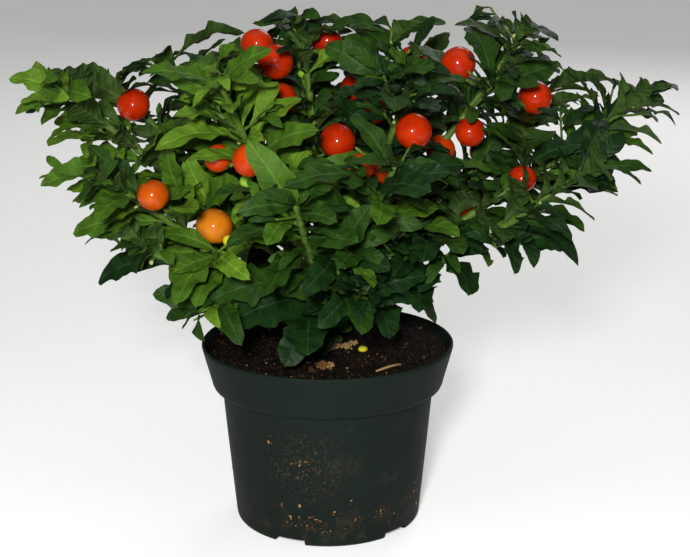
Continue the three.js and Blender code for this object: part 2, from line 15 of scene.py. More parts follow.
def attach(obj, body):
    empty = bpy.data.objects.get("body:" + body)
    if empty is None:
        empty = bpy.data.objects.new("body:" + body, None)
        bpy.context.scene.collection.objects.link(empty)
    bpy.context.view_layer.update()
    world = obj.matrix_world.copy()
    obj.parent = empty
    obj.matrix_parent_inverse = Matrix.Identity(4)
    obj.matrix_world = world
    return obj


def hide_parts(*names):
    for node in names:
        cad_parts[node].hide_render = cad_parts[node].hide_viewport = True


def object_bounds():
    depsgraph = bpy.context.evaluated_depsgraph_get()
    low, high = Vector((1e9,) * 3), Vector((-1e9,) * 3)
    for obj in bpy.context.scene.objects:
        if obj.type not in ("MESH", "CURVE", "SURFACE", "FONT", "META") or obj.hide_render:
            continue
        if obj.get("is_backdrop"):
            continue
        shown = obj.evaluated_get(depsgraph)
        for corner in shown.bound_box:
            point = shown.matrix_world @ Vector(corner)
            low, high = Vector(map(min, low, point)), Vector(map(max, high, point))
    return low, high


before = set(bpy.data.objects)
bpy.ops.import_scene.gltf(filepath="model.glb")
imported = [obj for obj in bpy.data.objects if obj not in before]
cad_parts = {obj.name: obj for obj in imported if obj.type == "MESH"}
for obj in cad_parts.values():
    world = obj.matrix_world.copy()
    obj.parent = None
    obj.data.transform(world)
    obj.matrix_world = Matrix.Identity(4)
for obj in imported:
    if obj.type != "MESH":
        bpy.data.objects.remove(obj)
cad_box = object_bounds()

# The nursery pot: black-green moulded plastic with a plain collar under its lip and five notches under its
# foot, so that water runs out. It wears dried smears of peat dust and orange crumbs of bark.

MM = 0.001
FOOT_RADIUS = 44.6
FOOT_ROUND = 3.0
POT_STEPS = 160
NOTCHES = 5
FIRST_NOTCH = -114  # degrees
NOTCH_SIZE = (22, 16, 6.8)
SMEAR_AT = (-0.010, -0.047, 0.041)  # metres


class Wire:
    """A socket of a material's nodes. Sums, products and differences of wires and numbers add Math nodes."""

    def __init__(self, tree, socket):
        self.tree = tree
        self.socket = socket

    def node(self, kind, settings=None, values=None, out=0):
        node = self.tree.nodes.new("ShaderNode" + kind)
        for name, value in (settings or {}).items():
            if name == "stops":
                for i, (at, colour) in enumerate(value):
                    stop = node.color_ramp.elements[i] if i < 2 else node.color_ramp.elements.new(at)
                    stop.position = at
                    stop.color = (*colour, 1)
            else:
                setattr(node, name, value)
        for name, value in (values or {}).items():
            socket = node.inputs[name]
            if isinstance(value, Wire):
                self.tree.links.new(value.socket, socket)
            else:
                socket.default_value = value
        return Wire(self.tree, node.outputs[out])

    def maths(self, operation, *others):
        return self.node("Math", {"operation": operation}, dict(enumerate((self, *others))))

    def __add__(self, other):
        return self.maths("ADD", other)

    def __mul__(self, other):
        return self.maths("MULTIPLY", other)

    def __sub__(self, other):
        return self.maths("SUBTRACT", other)

    def __rsub__(self, other):
        return self.node("Math", {"operation": "SUBTRACT"}, {0: other, 1: self})

    __radd__ = __add__
    __rmul__ = __mul__

    def clouds(self, scale, detail=3.0, roughness=0.55):
        """Noise from 0 to 1 on these coordinates; scale is in features to the metre."""
        values = {"Vector": self, "Scale": scale, "Detail": detail, "Roughness": roughness}
        return self.node("TexNoise", None, values)

    def axis(self, letter):
        """One of these coordinates."""
        return self.node("SeparateXYZ", None, {"Vector": self}, out=letter)

    def drawn_out(self, upright):
        """These coordinates, for a pattern that is longer upright the nearer this is to 0."""
        return self.node("Mapping", None, {"Vector": self, "Scale": (1, 1, upright)})

    def step(self, low, high):
        """0 below low, 1 above high and smooth between them."""
        settings = {"interpolation_type": "SMOOTHSTEP", "clamp": True}
        return self.node("MapRange", settings, {"Value": self, "From Min": low, "From Max": high})

    def blend(self, low, high):
        """The colour low where this is 0, high where it is 1."""
        settings = {"data_type": "RGBA", "clamp_factor": True}
        colours = {i: c if isinstance(c, Wire) else (*c, 1) for i, c in ((6, low), (7, high))}
        return self.node("Mix", settings, {0: self, **colours}, out=2)

    def relief(self, depth):
        """A normal raised by depth millimetres where this is 1."""
        return self.node("Bump", None, {"Strength": 1.0, "Distance": depth * MM, "Height": self})


def start_paint(name, **steady):
    """A new material with its steady shader values set, and its object coordinates."""
    paint = bpy.data.materials.new(name)
    paint.use_nodes = True
    shader = paint.node_tree.nodes["Principled BSDF"]
    for socket, value in steady.items():
        shader.inputs[socket.replace("_", " ")].default_value = value
    return paint, Wire(paint.node_tree, None).node("TexCoord", out="Object")


def finish_paint(paint, **varying):
    shader = paint.node_tree.nodes["Principled BSDF"]
    for socket, wire in varying.items():
        paint.node_tree.links.new(wire.socket, shader.inputs[socket.replace("_", " ")])
    return paint


def spun(profile, steps):
    """A shape turned about the upright axis from radii and heights in millimetres."""
    shape = bmesh.new()
    corners = [shape.verts.new((radius * MM, 0, height * MM)) for radius, height in profile]
    edges = [shape.edges.new(pair) for pair in zip(corners, corners[1:])]
    bmesh.ops.spin(
        shape,
        geom=corners + edges,
        cent=(0, 0, 0),
        axis=(0, 0, 1),
        angle=2 * math.pi,
        steps=steps,
        use_merge=True,
    )
    bmesh.ops.remove_doubles(shape, verts=shape.verts, dist=1e-6)
    bmesh.ops.recalc_face_normals(shape, faces=shape.faces)
    return shape


def object_of(mesh, paints):
    """A finished mesh as an object of the plant, in its paints."""
    for paint in paints:
        mesh.materials.append(paint)
    mesh.shade_smooth()
    piece = bpy.data.objects.new(mesh.name, mesh)
    bpy.context.scene.collection.objects.link(piece)
    return piece


def piece_of(shape, name, paints, smooth_angle=40):
    """A finished bmesh as an object, with the edges sharp that bend more than the angle."""
    mesh = bpy.data.meshes.new(name)
    shape.to_mesh(mesh)
    shape.free()
    piece = object_of(mesh, paints)
    mesh.set_sharp_from_angle(angle=math.radians(smooth_angle))
    return piece


def plastic_paint():
    paint, place = start_paint("black_green_plastic", Specular_IOR_Level=0.08)
    height = place.axis("Z")
    shade = place.clouds(28, 4).blend((0.0036, 0.0072, 0.0052), (0.0066, 0.0112, 0.0082))
    below_collar = height.step(0.067, 0.061)
    dust = place.clouds(75, 8, 0.78).step(0.50, 0.80) * place.clouds(19, 2).step(0.42, 0.66)
    streaks = place.drawn_out(0.3).clouds(190, 5, 0.7)
    dust = dust * streaks.step(0.36, 0.62) * (below_collar * 0.42 + 0.06)
    foot_grime = height.step(0.030, 0.004) * place.clouds(120, 5, 0.7).step(0.48, 0.72) * 0.30
    colour = foot_grime.blend(dust.blend(shade, (0.085, 0.072, 0.044)), (0.075, 0.040, 0.017))
    smear = place.node("VectorMath", {"operation": "DISTANCE"}, {0: place, 1: SMEAR_AT}, out="Value")
    specks = place.clouds(620, 6, 0.8).step(0.53, 0.66) * smear.step(0.026, 0.004)
    colour = (specks * 0.75).blend(colour, (0.105, 0.058, 0.028))
    rough = place.clouds(90, 4) * 0.14 + (dust * 0.3 + 0.56)
    grain = place.clouds(700, 2) * 0.10 + place.clouds(40, 2) * 0.35
    return finish_paint(paint, Base_Color=colour, Roughness=rough, Normal=grain.relief(0.35))


def foot_corner(steps):
    turns = [math.pi / 2 * i / steps for i in range(steps + 1)]
    return [(FOOT_RADIUS - FOOT_ROUND * (1 - math.sin(t)), FOOT_ROUND * (1 - math.cos(t))) for t in turns]


# The radii and heights of the outline: along the foot, up the wall and the collar, over the lip, down inside.
pot_outline = [
    (0, 0),
    *foot_corner(6),
    (44.66, 3.7),
    (45.1, 8.0),
    (48.2, 40),
    (50.5, 65.4),
    (50.7, 66.5),
    (51.5, 67.0),
    (53.6, 67.0),
    (54.7, 67.5),
    (55.3, 68.8),
    (55.7, 70.6),
    (59.6, 85.0),
    (59.95, 86.6),
    (59.9, 87.4),
    (59.5, 87.9),
    (59.1, 88.0),
    (58.7, 87.8),
    (58.4, 87.0),
    (49.3, 67.0),
    (43.3, 6.2),
    (42.4, 5.0),
    (0, 5.0),
]
pot_shape = spun(pot_outline, POT_STEPS)
pot = piece_of(pot_shape, "nursery_pot", [plastic_paint()], 50)
notch_shape = bmesh.new()
for i in range(NOTCHES):
    turn = Matrix.Rotation(math.radians(FIRST_NOTCH + 360 / NOTCHES * i), 4, "Z")
    sides = Matrix.Diagonal([side * MM for side in NOTCH_SIZE] + [1])
    place = turn @ Matrix.Translation((FOOT_RADIUS * MM, 0, 0)) @ sides
    bmesh.ops.create_cube(notch_shape, size=1, matrix=place)
notch_cutter = piece_of(notch_shape, "notch_cutter", [])
cut = pot.modifiers.new("notches", "BOOLEAN")
cut.operation = "DIFFERENCE"
cut.object = notch_cutter
cut.solver = "EXACT"
bpy.context.view_layer.update()
notched = bpy.data.meshes.new_from_object(pot.evaluated_get(bpy.context.evaluated_depsgraph_get()))
pot.modifiers.clear()
pot.data = notched
bpy.data.objects.remove(notch_cutter)
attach(pot, "root")
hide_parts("pot")

# Potting soil: dark, fibrous peat, mounded a little towards the plant, with crumbs of bark and a few pale
# bits loose on top: lumps of dried root and a curl of wood.

SOIL_EDGE = 84.0
SOIL_TOP = 84.5
SOIL_RADIUS = 56.4
MOUND_RADIUS = 14
SOIL_STEPS = (60, 190)
LOOSE_CRUMBS = 3200
PEAT, BROWN, BARK, PALE = range(4)
KIND_SHARES = [0.70, 0.23, 0.05, 0.02]
KIND_SIZES = (1, 0.75, 0.6, 0.5)
CURL_AT = (29.2, -34.4)
WALL_TOP = {"radius": 50.4, "height": 65.4}
WALL_CRUMBS = {"lowest": 5.0, "highest": 62.0, "flat": 0.35}
rng = np.random.default_rng(1854)


class Pattern:
    """A small shape as arrays, laid down many times."""

    def __init__(self, shape):
        shape.verts.index_update()
        self.points = np.array([v.co for v in shape.verts])
        self.corners = np.array([v.index for f in shape.faces for v in f.verts])
        self.sizes = np.array([len(f.verts) for f in shape.faces])
        self.kinds = np.array([f.material_index for f in shape.faces])
        shape.free()


class Joined:
    """Many laid patterns, gathered into one mesh. Points are in millimetres."""

    def __init__(self):
        self.points, self.corners, self.sizes, self.paints, self.flat = [], [], [], [], []
        self.count = 0

    def lay(self, pattern, points, paints):
        """Adds a bent copy of the pattern; paints gives each of its kinds of face a material's number."""
        self.points.append(points)
        self.corners.append(pattern.corners + self.count)
        self.sizes.append(pattern.sizes)
        self.paints.append(np.asarray(paints)[pattern.kinds])
        self.flat.append(pattern.points[pattern.corners][:, :2])
        self.count += len(points)

    def piece(self, name, paints, with_flat=False):
        """The object of all that was laid; with_flat keeps each pattern's own x and y as a UV map."""
        mesh = bpy.data.meshes.new(name)
        points = np.concatenate(self.points) * MM
        corners = np.concatenate(self.corners)
        sizes = np.concatenate(self.sizes)
        mesh.vertices.add(len(points))
        mesh.vertices.foreach_set("co", points.astype(np.float32).ravel())
        mesh.loops.add(len(corners))
        mesh.loops.foreach_set("vertex_index", corners.astype(np.int32))
        mesh.polygons.add(len(sizes))
        starts = np.concatenate([[0], np.cumsum(sizes)[:-1]])
        mesh.polygons.foreach_set("loop_start", starts.astype(np.int32))
        mesh.polygons.foreach_set("material_index", np.concatenate(self.paints).astype(np.int32))
        if with_flat:
            flat = mesh.uv_layers.new(name="flat")
            flat.uv.foreach_set("vector", (np.concatenate(self.flat) * 0.5 + 0.5).astype(np.float32).ravel())
        mesh.update(calc_edges=True)
        mesh.validate()
        return object_of(mesh, paints)


def peat_height(x, y):
    """The soil's surface in millimetres, at a place in millimetres."""
    out = math.hypot(x, y)
    slope = max(0.0, (out - MOUND_RADIUS) / (SOIL_RADIUS - MOUND_RADIUS))
    mound = SOIL_TOP + (SOIL_EDGE - SOIL_TOP) * slope
    rough = 1.3 * noise.noise((x / 11, y / 11, 3.1)) + 0.9 * noise.noise((x / 3.6, y / 3.6, 7.7))
    return mound + rough + 0.45 * noise.noise((x / 1.5, y / 1.5, 1.7))


def peat_paint(name, dark, light):
    paint, place = start_paint(name, Specular_IOR_Level=0.08)
    colour = place.clouds(420, 5, 0.7).step(0.40, 0.68).blend(dark, light)
    fibre = place.clouds(900, 4, 0.7)
    cells = place.node("TexVoronoi", None, {"Vector": place, "Scale": 520.0}, out="Distance")
    flecks = cells.step(0.24, 0.14) * place.clouds(240, 2).step(0.60, 0.68)
    colour = flecks.blend(colour, (0.16, 0.055, 0.018))
    return finish_paint(paint, Base_Color=colour, Roughness=fibre * 0.2 + 0.78, Normal=fibre.relief(0.8))


rings = [(r, SOIL_TOP) for r in np.linspace(0, SOIL_RADIUS, SOIL_STEPS[0])]
soil_shape = spun([*rings, (49.0, 67.0), (43.6, 12.0), (0, 12.0)], SOIL_STEPS[1])
for v in soil_shape.verts:
    if v.co.z > 80 * MM:
        v.co.z = peat_height(v.co.x / MM, v.co.y / MM) * MM
peat = peat_paint("peat", (0.0022, 0.0014, 0.0009), (0.011, 0.0066, 0.0038))
soil = piece_of(soil_shape, "potting_soil", [peat], 60)
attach(soil, "root")
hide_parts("soil")


def lump_pattern(finer):
    """An uneven lump, with finer faces the higher the number."""
    shape = bmesh.new()
    bmesh.ops.create_icosphere(shape, subdivisions=finer, radius=1)
    for v in shape.verts:
        v.co *= 1 + 0.35 * noise.noise(v.co * 1.7)
    return Pattern(shape)


def turned(points):
    """The points turned any way at all."""
    spin = Quaternion(rng.normal(size=4)).normalized().to_matrix()
    return points @ np.array(spin).T


def about_z(points, turn):
    return points @ np.array(Matrix.Rotation(turn, 3, "Z")).T


crumb = lump_pattern(1)
crumbs = Joined()
for _ in range(LOOSE_CRUMBS):
    out = (SOIL_RADIUS - 0.6) * math.sqrt(rng.uniform(0.02, 1))
    turn = rng.uniform(0, 2 * math.pi)
    x, y = out * math.cos(turn), out * math.sin(turn)
    size = rng.uniform(0.15, 0.6) * rng.choice([1, 1, 1, 1.8])
    stretch = np.array([rng.uniform(0.7, 2.2), rng.uniform(0.6, 1.2), rng.uniform(0.5, 1.0)])
    kind = rng.choice([PEAT, BROWN, BARK, PALE], p=KIND_SHARES)
    points = turned(crumb.points * stretch * size * KIND_SIZES[kind])
    crumbs.lay(crumb, points + (x, y, peat_height(x, y) + 0.2 * size), [kind])

# Heaps of one kind: place, size, kind, spread and count.
for x, y, size, kind, spread, count in (
    (8.3, -3.2, 0.85, PALE, 3.0, 60),
    (12.0, 3.0, 0.8, PALE, 1.8, 22),
    (-1.5, -32.0, 1.1, BARK, 3.2, 26),
    (1.5, -30.5, 0.8, PALE, 2.6, 16),
    (-52.0, 26.5, 0.9, BARK, 3.0, 24),
    (-29.0, 24.0, 0.9, PALE, 1.2, 7),
    (-17.0, -26.5, 1.0, PALE, 1.2, 7),
    (-7.0, -37.0, 1.2, BROWN, 1.6, 8),
):
    for _ in range(count):
        dx, dy = rng.normal(size=2) * spread * 0.5
        points = turned(crumb.points * size * rng.uniform(0.5, 1.2, 3))
        place = (x + dx, y + dy, peat_height(x + dx, y + dy) + rng.uniform(0.2, 1.6))
        crumbs.lay(crumb, points + place, [kind])

# The curl of wood: a narrow strip, pointed, bent and arched.
curl_shape = bmesh.new()
bmesh.ops.create_grid(curl_shape, x_segments=28, y_segments=4, size=1)
for v in curl_shape.verts:
    along, across = v.co.x, v.co.y
    bend = along**2
    v.co = (along * 7.8, across * (0.9 - 0.6 * bend) + 1.4 * bend, 1.3 * (1 - bend) - 0.5 * across**2)
bmesh.ops.solidify(curl_shape, geom=curl_shape.faces[:], thickness=0.35)
curl = Pattern(curl_shape)
crumbs.lay(curl, about_z(curl.points, math.radians(40)) + (*CURL_AT, peat_height(*CURL_AT) + 0.4), [PALE])


def wall_radius(height):
    """The radius of the pot's outside at a height in millimetres."""
    return FOOT_RADIUS + (WALL_TOP["radius"] - FOOT_RADIUS) * height / WALL_TOP["height"]


# Crumbs of bark and peat dried on the pot's wall: azimuth, height, spread of both, count and largest size.
for azimuth, height, wide, tall, count, largest in (
    (-104, 43.7, 1.6, 1.5, 12, 0.9),
    (-106, 45, 3.5, 3.5, 24, 0.5),
    (-100, 44, 8, 6.5, 300, 0.30),
    (-105, 60, 4.5, 0.9, 40, 0.28),
    (-122, 54.5, 0.8, 1.0, 7, 0.6),
    (-121.5, 51.5, 0.6, 0.6, 5, 1.0),
    (-113, 14.7, 1.3, 0.8, 8, 1.1),
    (-106.7, 15.5, 1.2, 0.7, 7, 1.0),
    (-99, 15.5, 1.6, 0.8, 8, 1.0),
    (-94.6, 14, 1.2, 0.6, 6, 0.9),
    (-117.7, 21, 1.5, 0.8, 5, 0.9),
    (-106, 21.6, 1.4, 0.8, 5, 0.9),
    (-76, 23.7, 0.8, 0.8, 4, 0.9),
    (-85.4, 18.4, 0.8, 0.7, 4, 0.8),
    (-72.8, 14.2, 1.2, 0.8, 5, 0.9),
    (-96, 10.5, 18, 2.5, 130, 0.45),
    (-60, 15, 9, 4, 40, 0.5),
    (-51, 59, 0.3, 0.2, 3, 0.5),
    (-57, 53, 5, 2.5, 14, 0.25),
    (-27, 17, 5, 4, 24, 0.7),
    (60, 20, 40, 7, 40, 0.6),
    (150, 24, 30, 10, 40, 0.6),
    (90, 45, 60, 12, 24, 0.4),
):
    for _ in range(count):
        turn = math.radians(azimuth + wide * rng.normal())
        z = min(WALL_CRUMBS["highest"], max(WALL_CRUMBS["lowest"], height + tall * rng.normal()))
        size = largest * rng.uniform(0.25, 1.0) ** 1.5
        points = turned(crumb.points * size * rng.uniform((0.7, 0.5, 0.3), (1.8, 1.1, 0.6)))
        points[:, 0] *= WALL_CRUMBS["flat"]
        points = about_z(points + (wall_radius(z), 0, z), turn)
        crumbs.lay(crumb, points, [rng.choice([BROWN, BROWN, BARK, BARK, PALE])])


def crumb_paint(name, colour, other):
    paint, place = start_paint(name, Specular_IOR_Level=0.08)
    patches = place.clouds(700, 3)
    return finish_paint(
        paint,
        Base_Color=patches.blend(colour, other),
        Roughness=patches * 0.2 + 0.7,
        Normal=place.clouds(1500, 2).relief(0.3),
    )


# One for each kind of crumb, in their order.
crumb_paints = [
    crumb_paint("peat_crumb", (0.0045, 0.0028, 0.0016), (0.014, 0.0082, 0.0045)),
    crumb_paint("brown_crumb", (0.020, 0.009, 0.004), (0.050, 0.022, 0.009)),
    crumb_paint("bark_crumb", (0.085, 0.034, 0.012), (0.17, 0.080, 0.030)),
    crumb_paint("pale_crumb", (0.20, 0.125, 0.045), (0.33, 0.22, 0.095)),
]
crumbs = crumbs.piece("soil_crumbs", crumb_paints)
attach(crumbs, "root")

# How the plant grows. A branch leaves the trunk as a bare bough and goes on as a leafy stem; leaves spiral
# round it, closer and smaller towards its tip, and every fourth joint bears a twig. This is the CAD's rule.

UP = Vector((0, 0, 1))
GAP = 0.3
# How far a piece keeps from what other masses bear, and from what its own bears.
ROOM_AROUND = 0.4
ROOM_WITHIN = 0.2
LEAF_TILT = (64, 46, 26)  # degrees, at a shoot's foot, near its tip and at its very end
LEAF_ARCH = (0.25, 0.65, 0.8)  # the least, the most, and the share of the length where it ends
LEAF_RISE = (105, 155, -0.08, 0.08)  # a low and a high place, and what each adds to the slope
LEAF_SLOPE = {"hanging": 0.2, "rising": 0.75, "lowest": -0.3}
LEAF_FACE = {"along": 0.5, "away": 0.9, "sideways": 0.5, "behind": 45, "roll": 22}
UNDERSIDE = {"left": 105, "front": 108, "right": 142, "pot": 45, "open": 60, "reach": 85, "climbs": (1, 0.12)}
DIP = {"azimuth": -107, "width": 16, "depth": 16}
TOPSIDE = {
    "x": (-150, -90, -78, -56, -44, -12, 12, 24, 100, 116, 150),
    "height": (216, 217, 229, 221, 237, 246, 238, 241, 241, 216, 211),
    "slope": 0.1,
}
GOLDEN_TURN = 137.5  # degrees
TRUNK_FOOT = 84.8
TRUNK_HEIGHT = 50.0
TRUNK_RADIUS = 4.8
BARE = 0.22  # the share of a branch that is its bough
BOUGH_RADIUS = 2.2
BRANCH = {"knee": 0.48, "knee_out": 8, "lowest_start": 5, "highest_start": 34, "apart": 4, "search": 0.5}
FIRST_JOINT = 4.0
BARE_END = 2
LEAF = {
    "length": 48,
    "tip": 25,
    "shrinks": 0.4,
    "width": 0.4,
    "widest": 0.57,
    "thickness": 0.021,
    "free": 3.2,
}
STEM = {"radius": 1.8, "tip": 1.2, "internode": 13.5, "tip_internode": 5.8}
TWIG = {
    "radius": 1.0,
    "tip": 0.7,
    "internode": 10.0,
    "tip_internode": 6.0,
    "above": 5,
    "tilt": 48,
    "last": 0.85,
    "every": 4,
    "longest": 36,
    "shortest": 20,
}
BERRY = {"radius": 8.2, "stalk": 7, "shares": (0.55, 0.82), "tries": 12, "red": 0.9}
LIGHT_FALLS = {"reach": 50, "radius": 5}
MOST_SKINS = 4000
# Each branch's name, azimuth, reach and height, how many berries hang beside the listed ones, and how pale
# its leaves are painted, as painted light and shade: paler where it catches the light, deeper in shade.
BRANCHES = (
    ("left_long", -177, 124, 212, 0, 0.70),
    ("left_low", -156, 108, 177, 0, 0.74),
    ("low_left", -150, 92, 144, 0, 0.52),
    ("upper_left", 152, 88, 218, 0, 0.34),
    ("left_front", -132, 68, 220, 0, 0.88),
    ("top", 170, 12, 241, 0, 0.36),
    ("top_left", -172, 36, 224, 0, 0.52),
    ("top_right", 40, 40, 233, 0, 0.30),
    ("right_top", 8, 92, 232, 0, 0.32),
    ("right_far", 4, 147, 203, 0, 0.36),
    ("right_mid", -12, 124, 178, 0, 0.32),
    ("right_low", -28, 99, 160, 0, 0.24),
    ("low_right", -30, 66, 150, 0, 0.22),
    ("front_right", -69, 80, 186, 0, 0.36),
    ("front", -98, 86, 172, 0, 0.42),
    ("inner_right", -37, 48, 222, 0, 0.32),
    ("front_mid", -84, 54, 138, 0, 0.16),
    ("front_low", -107, 32, 108, 0, 0.14),
    ("front_low_right", -50, 56, 140, 0, 0.16),
    ("back_left", 125, 112, 195, 2, 0.45),
    ("back", 97, 120, 196, 2, 0.50),
    ("back_right", 66, 116, 204, 2, 0.45),
    ("far_right_back", 26, 130, 207, 1, 0.40),
    ("low_back_left", 160, 90, 142, 1, 0.35),
    ("low_back", 112, 84, 136, 1, 0.35),
    ("low_back_right", 68, 84, 138, 1, 0.35),
    ("low_right_back", 20, 92, 180, 1, 0.35),
    ("inner_back", 105, 54, 218, 1, 0.45),
    ("far_left_back", 154, 120, 207, 0, 0.30),
)
# The berries that show from the front: the middle, the radius, and how red, from green at 0 to red at 1.
OPEN_BERRIES = (
    (-93, 30, 196, 8, 0.95),
    (-23, -7, 221, 8.2, 0.93),
    (-32, 6, 227, 7.6, 0.97),
    (5, -8, 185, 8.2, 0.92),
    (60, 2, 219, 8, 0.95),
    (38, -41, 195, 8.2, 0.92),
    (66, 0, 188, 7.2, 0.92),
    (97, 13, 202, 8, 0.95),
    (-32, -61, 186, 7.2, 0.82),
    (-75, -47, 168, 7, 0.72),
    (-50, -33, 151, 8.2, 0.60),
)
# Those that leaves partly hide. Those at 1.0 sit in shade and take the deepest red, which is painted
# shade.
TUCKED_BERRIES = (
    (-21, 3, 203, 7.4, 1.0),
    (0, 11, 228, 7, 1.0),
    (53, 10, 178, 7, 0.9),
    (-47, -40, 183, 6.4, 0.9),
    (15, -55, 182, 6.2, 0.8),
    (27, -38, 177, 6.2, 0.8),
    (88, -21, 170, 6.6, 0.95),
    (40, 23, 218, 7, 0.95),
    (13, 25, 205, 7, 0.95),
    (21, 11, 196, 7, 0.95),
)
# The leaves that hang low over the soil and the lip: the branch, how far along its stem, and the tip's place.
LOW_LEAVES = (
    ("front_low", 0.9, (-17, -51, 92)),
    ("right_mid", 0.04, (53, -12, 102)),
    ("front_low_right", 0.2, (31, -38, 103)),
    ("low_left", 0.2, (-52, -28, 106)),
    ("right_low", 0.85, (111, -54, 144)),
)
# Where the photograph was taken from.
FRONT_VIEW = Vector((8, -685, 302))


def mix(a, b, share):
    return a + (b - a) * share


class Dice:
    """Park-Miller numbers, the same as the CAD's."""

    def __init__(self, seed):
        self.state = seed

    def between(self, low, high):
        self.state = self.state * 48271 % 2147483647
        return low + (high - low) * self.state / 2147483647


class Line:
    """A curve from a start by way of a knee to a tip, or the stretch of it between two shares."""

    def __init__(self, start, knee, tip, first=0.0, last=1.0):
        self.start, self.knee, self.tip, self.first, self.last = start, knee, tip, first, last

    def point(self, u):
        u = mix(self.first, self.last, u)
        return self.start * (1 - u) ** 2 + self.knee * (2 * u * (1 - u)) + self.tip * u**2

    def run(self, u):
        u = mix(self.first, self.last, u)
        return ((self.knee - self.start) * (1 - u) + (self.tip - self.knee) * u).normalized()

    def stretch(self, first, last):
        return Line(self.start, self.knee, self.tip, first, last)

    def length(self):
        stops = [self.point(i / 200) for i in range(201)]
        return sum((b - a).length for a, b in zip(stops, stops[1:]))


class Frame:
    """A point on a line with the directions along it, level across it and over it."""

    def __init__(self, line, u):
        level = UP.cross(line.run(0))
        if level.length < 0.05:
            level = Vector((1, 0, 0))
        self.point = line.point(u)
        self.along = line.run(u)
        self.across = (level - self.along * level.dot(self.along)).normalized()
        self.over = self.across.cross(self.along)

    def aside(self, turn, tilt):
        """The direction turn degrees round the line and tilt degrees away from its run."""
        turn, tilt = math.radians(turn), math.radians(tilt)
        away = self.across * math.cos(turn) + self.over * math.sin(turn)
        return (away * math.sin(tilt) + self.along * math.cos(tilt)).normalized()


def straight(start, end):
    return Line(start, (start + end) / 2, end)


trunk_line = Line(
    Vector((0, 0, TRUNK_FOOT)),
    Vector((0, 0, TRUNK_FOOT + TRUNK_HEIGHT / 2)),
    Vector((-2, 2, TRUNK_FOOT + TRUNK_HEIGHT)),
)


def trunk_radius(u):
    return mix(TRUNK_RADIUS, 2, u) + 2.6 * max(0, 1 - 4 * u) ** 2


def branch_line(azimuth, reach, height, start_height, leader):
    out = Vector((math.cos(math.radians(azimuth)), math.sin(math.radians(azimuth)), 0))
    start = trunk_line.point(start_height / TRUNK_HEIGHT)
    tip = out * reach + UP * height
    knee = out * (reach * BRANCH["knee"] + (0 if leader else BRANCH["knee_out"]))
    knee.z = mix(start.z, tip.z, 0.5)
    return Line(start, knee, tip)


def branch_lines():
    """Flatter branches start lower on the trunk, above what is in their way; the leader starts at its top.

    They could cross where they are near the trunk, so their first third outside it is compared.
    """
    slopes = {b[0]: math.inf if b[0] == "top" else (b[3] - TRUNK_FOOT) / b[2] for b in BRANCHES}
    lines, taken = {}, []
    for i, (name, azimuth, reach, height, _, _) in enumerate(sorted(BRANCHES, key=lambda b: slopes[b[0]])):
        leader = name == "top"
        share = i / len(BRANCHES)
        start = TRUNK_HEIGHT if leader else mix(BRANCH["lowest_start"], BRANCH["highest_start"], share)
        while True:
            line = branch_line(azimuth, reach, height, start, leader)
            points = [line.point(k / 80) for k in range(30)]
            points = [p for p in points if math.hypot(p.x, p.y) > 0.7 * TRUNK_RADIUS]
            start += BRANCH["search"]
            crossed = any((p - q).length < BRANCH["apart"] for p in points for q in taken)
            if start >= TRUNK_HEIGHT or not crossed:
                break
        lines[name] = line
        taken += points
    return lines


class Skin:
    """The surface that a growing piece is tested by, with its box."""

    def __init__(self, points, faces):
        points = np.asarray(points)
        self.box = (points.min(0), points.max(0))
        self.tree = BVHTree.FromPolygons(points.tolist(), faces)


def band_faces(sides, bands):
    """The faces between rings of points, from one ring to the next."""
    faces = []
    for k in range(bands):
        for i in range(sides):
            a, b = k * sides + i, k * sides + (i + 1) % sides
            faces.append([a, b, b + sides, a + sides])
    return faces


def rod_skin(line, radius_at, sides, rings):
    points = []
    for k in range(rings + 1):
        at = Frame(line, k / rings)
        for i in range(sides):
            turn = 2 * math.pi * i / sides
            aside = at.across * math.sin(turn) + at.over * math.cos(turn)
            points.append(at.point + aside * radius_at(k / rings))
    ends = [list(range(sides)), list(range(rings * sides, (rings + 1) * sides))]
    return Skin(points, ends + band_faces(sides, rings))


KITE = ((0, 1, 0), (-1, 0, 0), (0, 0, 1), (1, 0, 0), (0, 0, -1), (0, -1, 0))
KITE_FACES = [(0, 1, 2), (0, 2, 3), (0, 3, 4), (0, 4, 1), (5, 2, 1), (5, 3, 2), (5, 4, 3), (5, 1, 4)]


def leaf_run(at, turn, tilt, length):
    """The run of a leaf that turns and tilts away: flatter where it is steep, and under the crown's top."""
    run = at.aside(turn, tilt)
    low, high, least, most = LEAF_RISE
    raised = min(1, max(0, (at.point.z - low) / (high - low)))
    slope = LEAF_SLOPE["hanging" if run.z < 0 else "rising"] * run.z + mix(least, most, raised)
    run.z = 0
    run.normalize()
    end = at.point + run * length
    top = float(np.interp(end.x, TOPSIDE["x"], TOPSIDE["height"])) - TOPSIDE["slope"] * end.y
    rise = min(slope, max((top - at.point.z) / length, LEAF_SLOPE["lowest"]))
    run *= math.sqrt(1 - rise * rise)
    run.z = rise
    return run


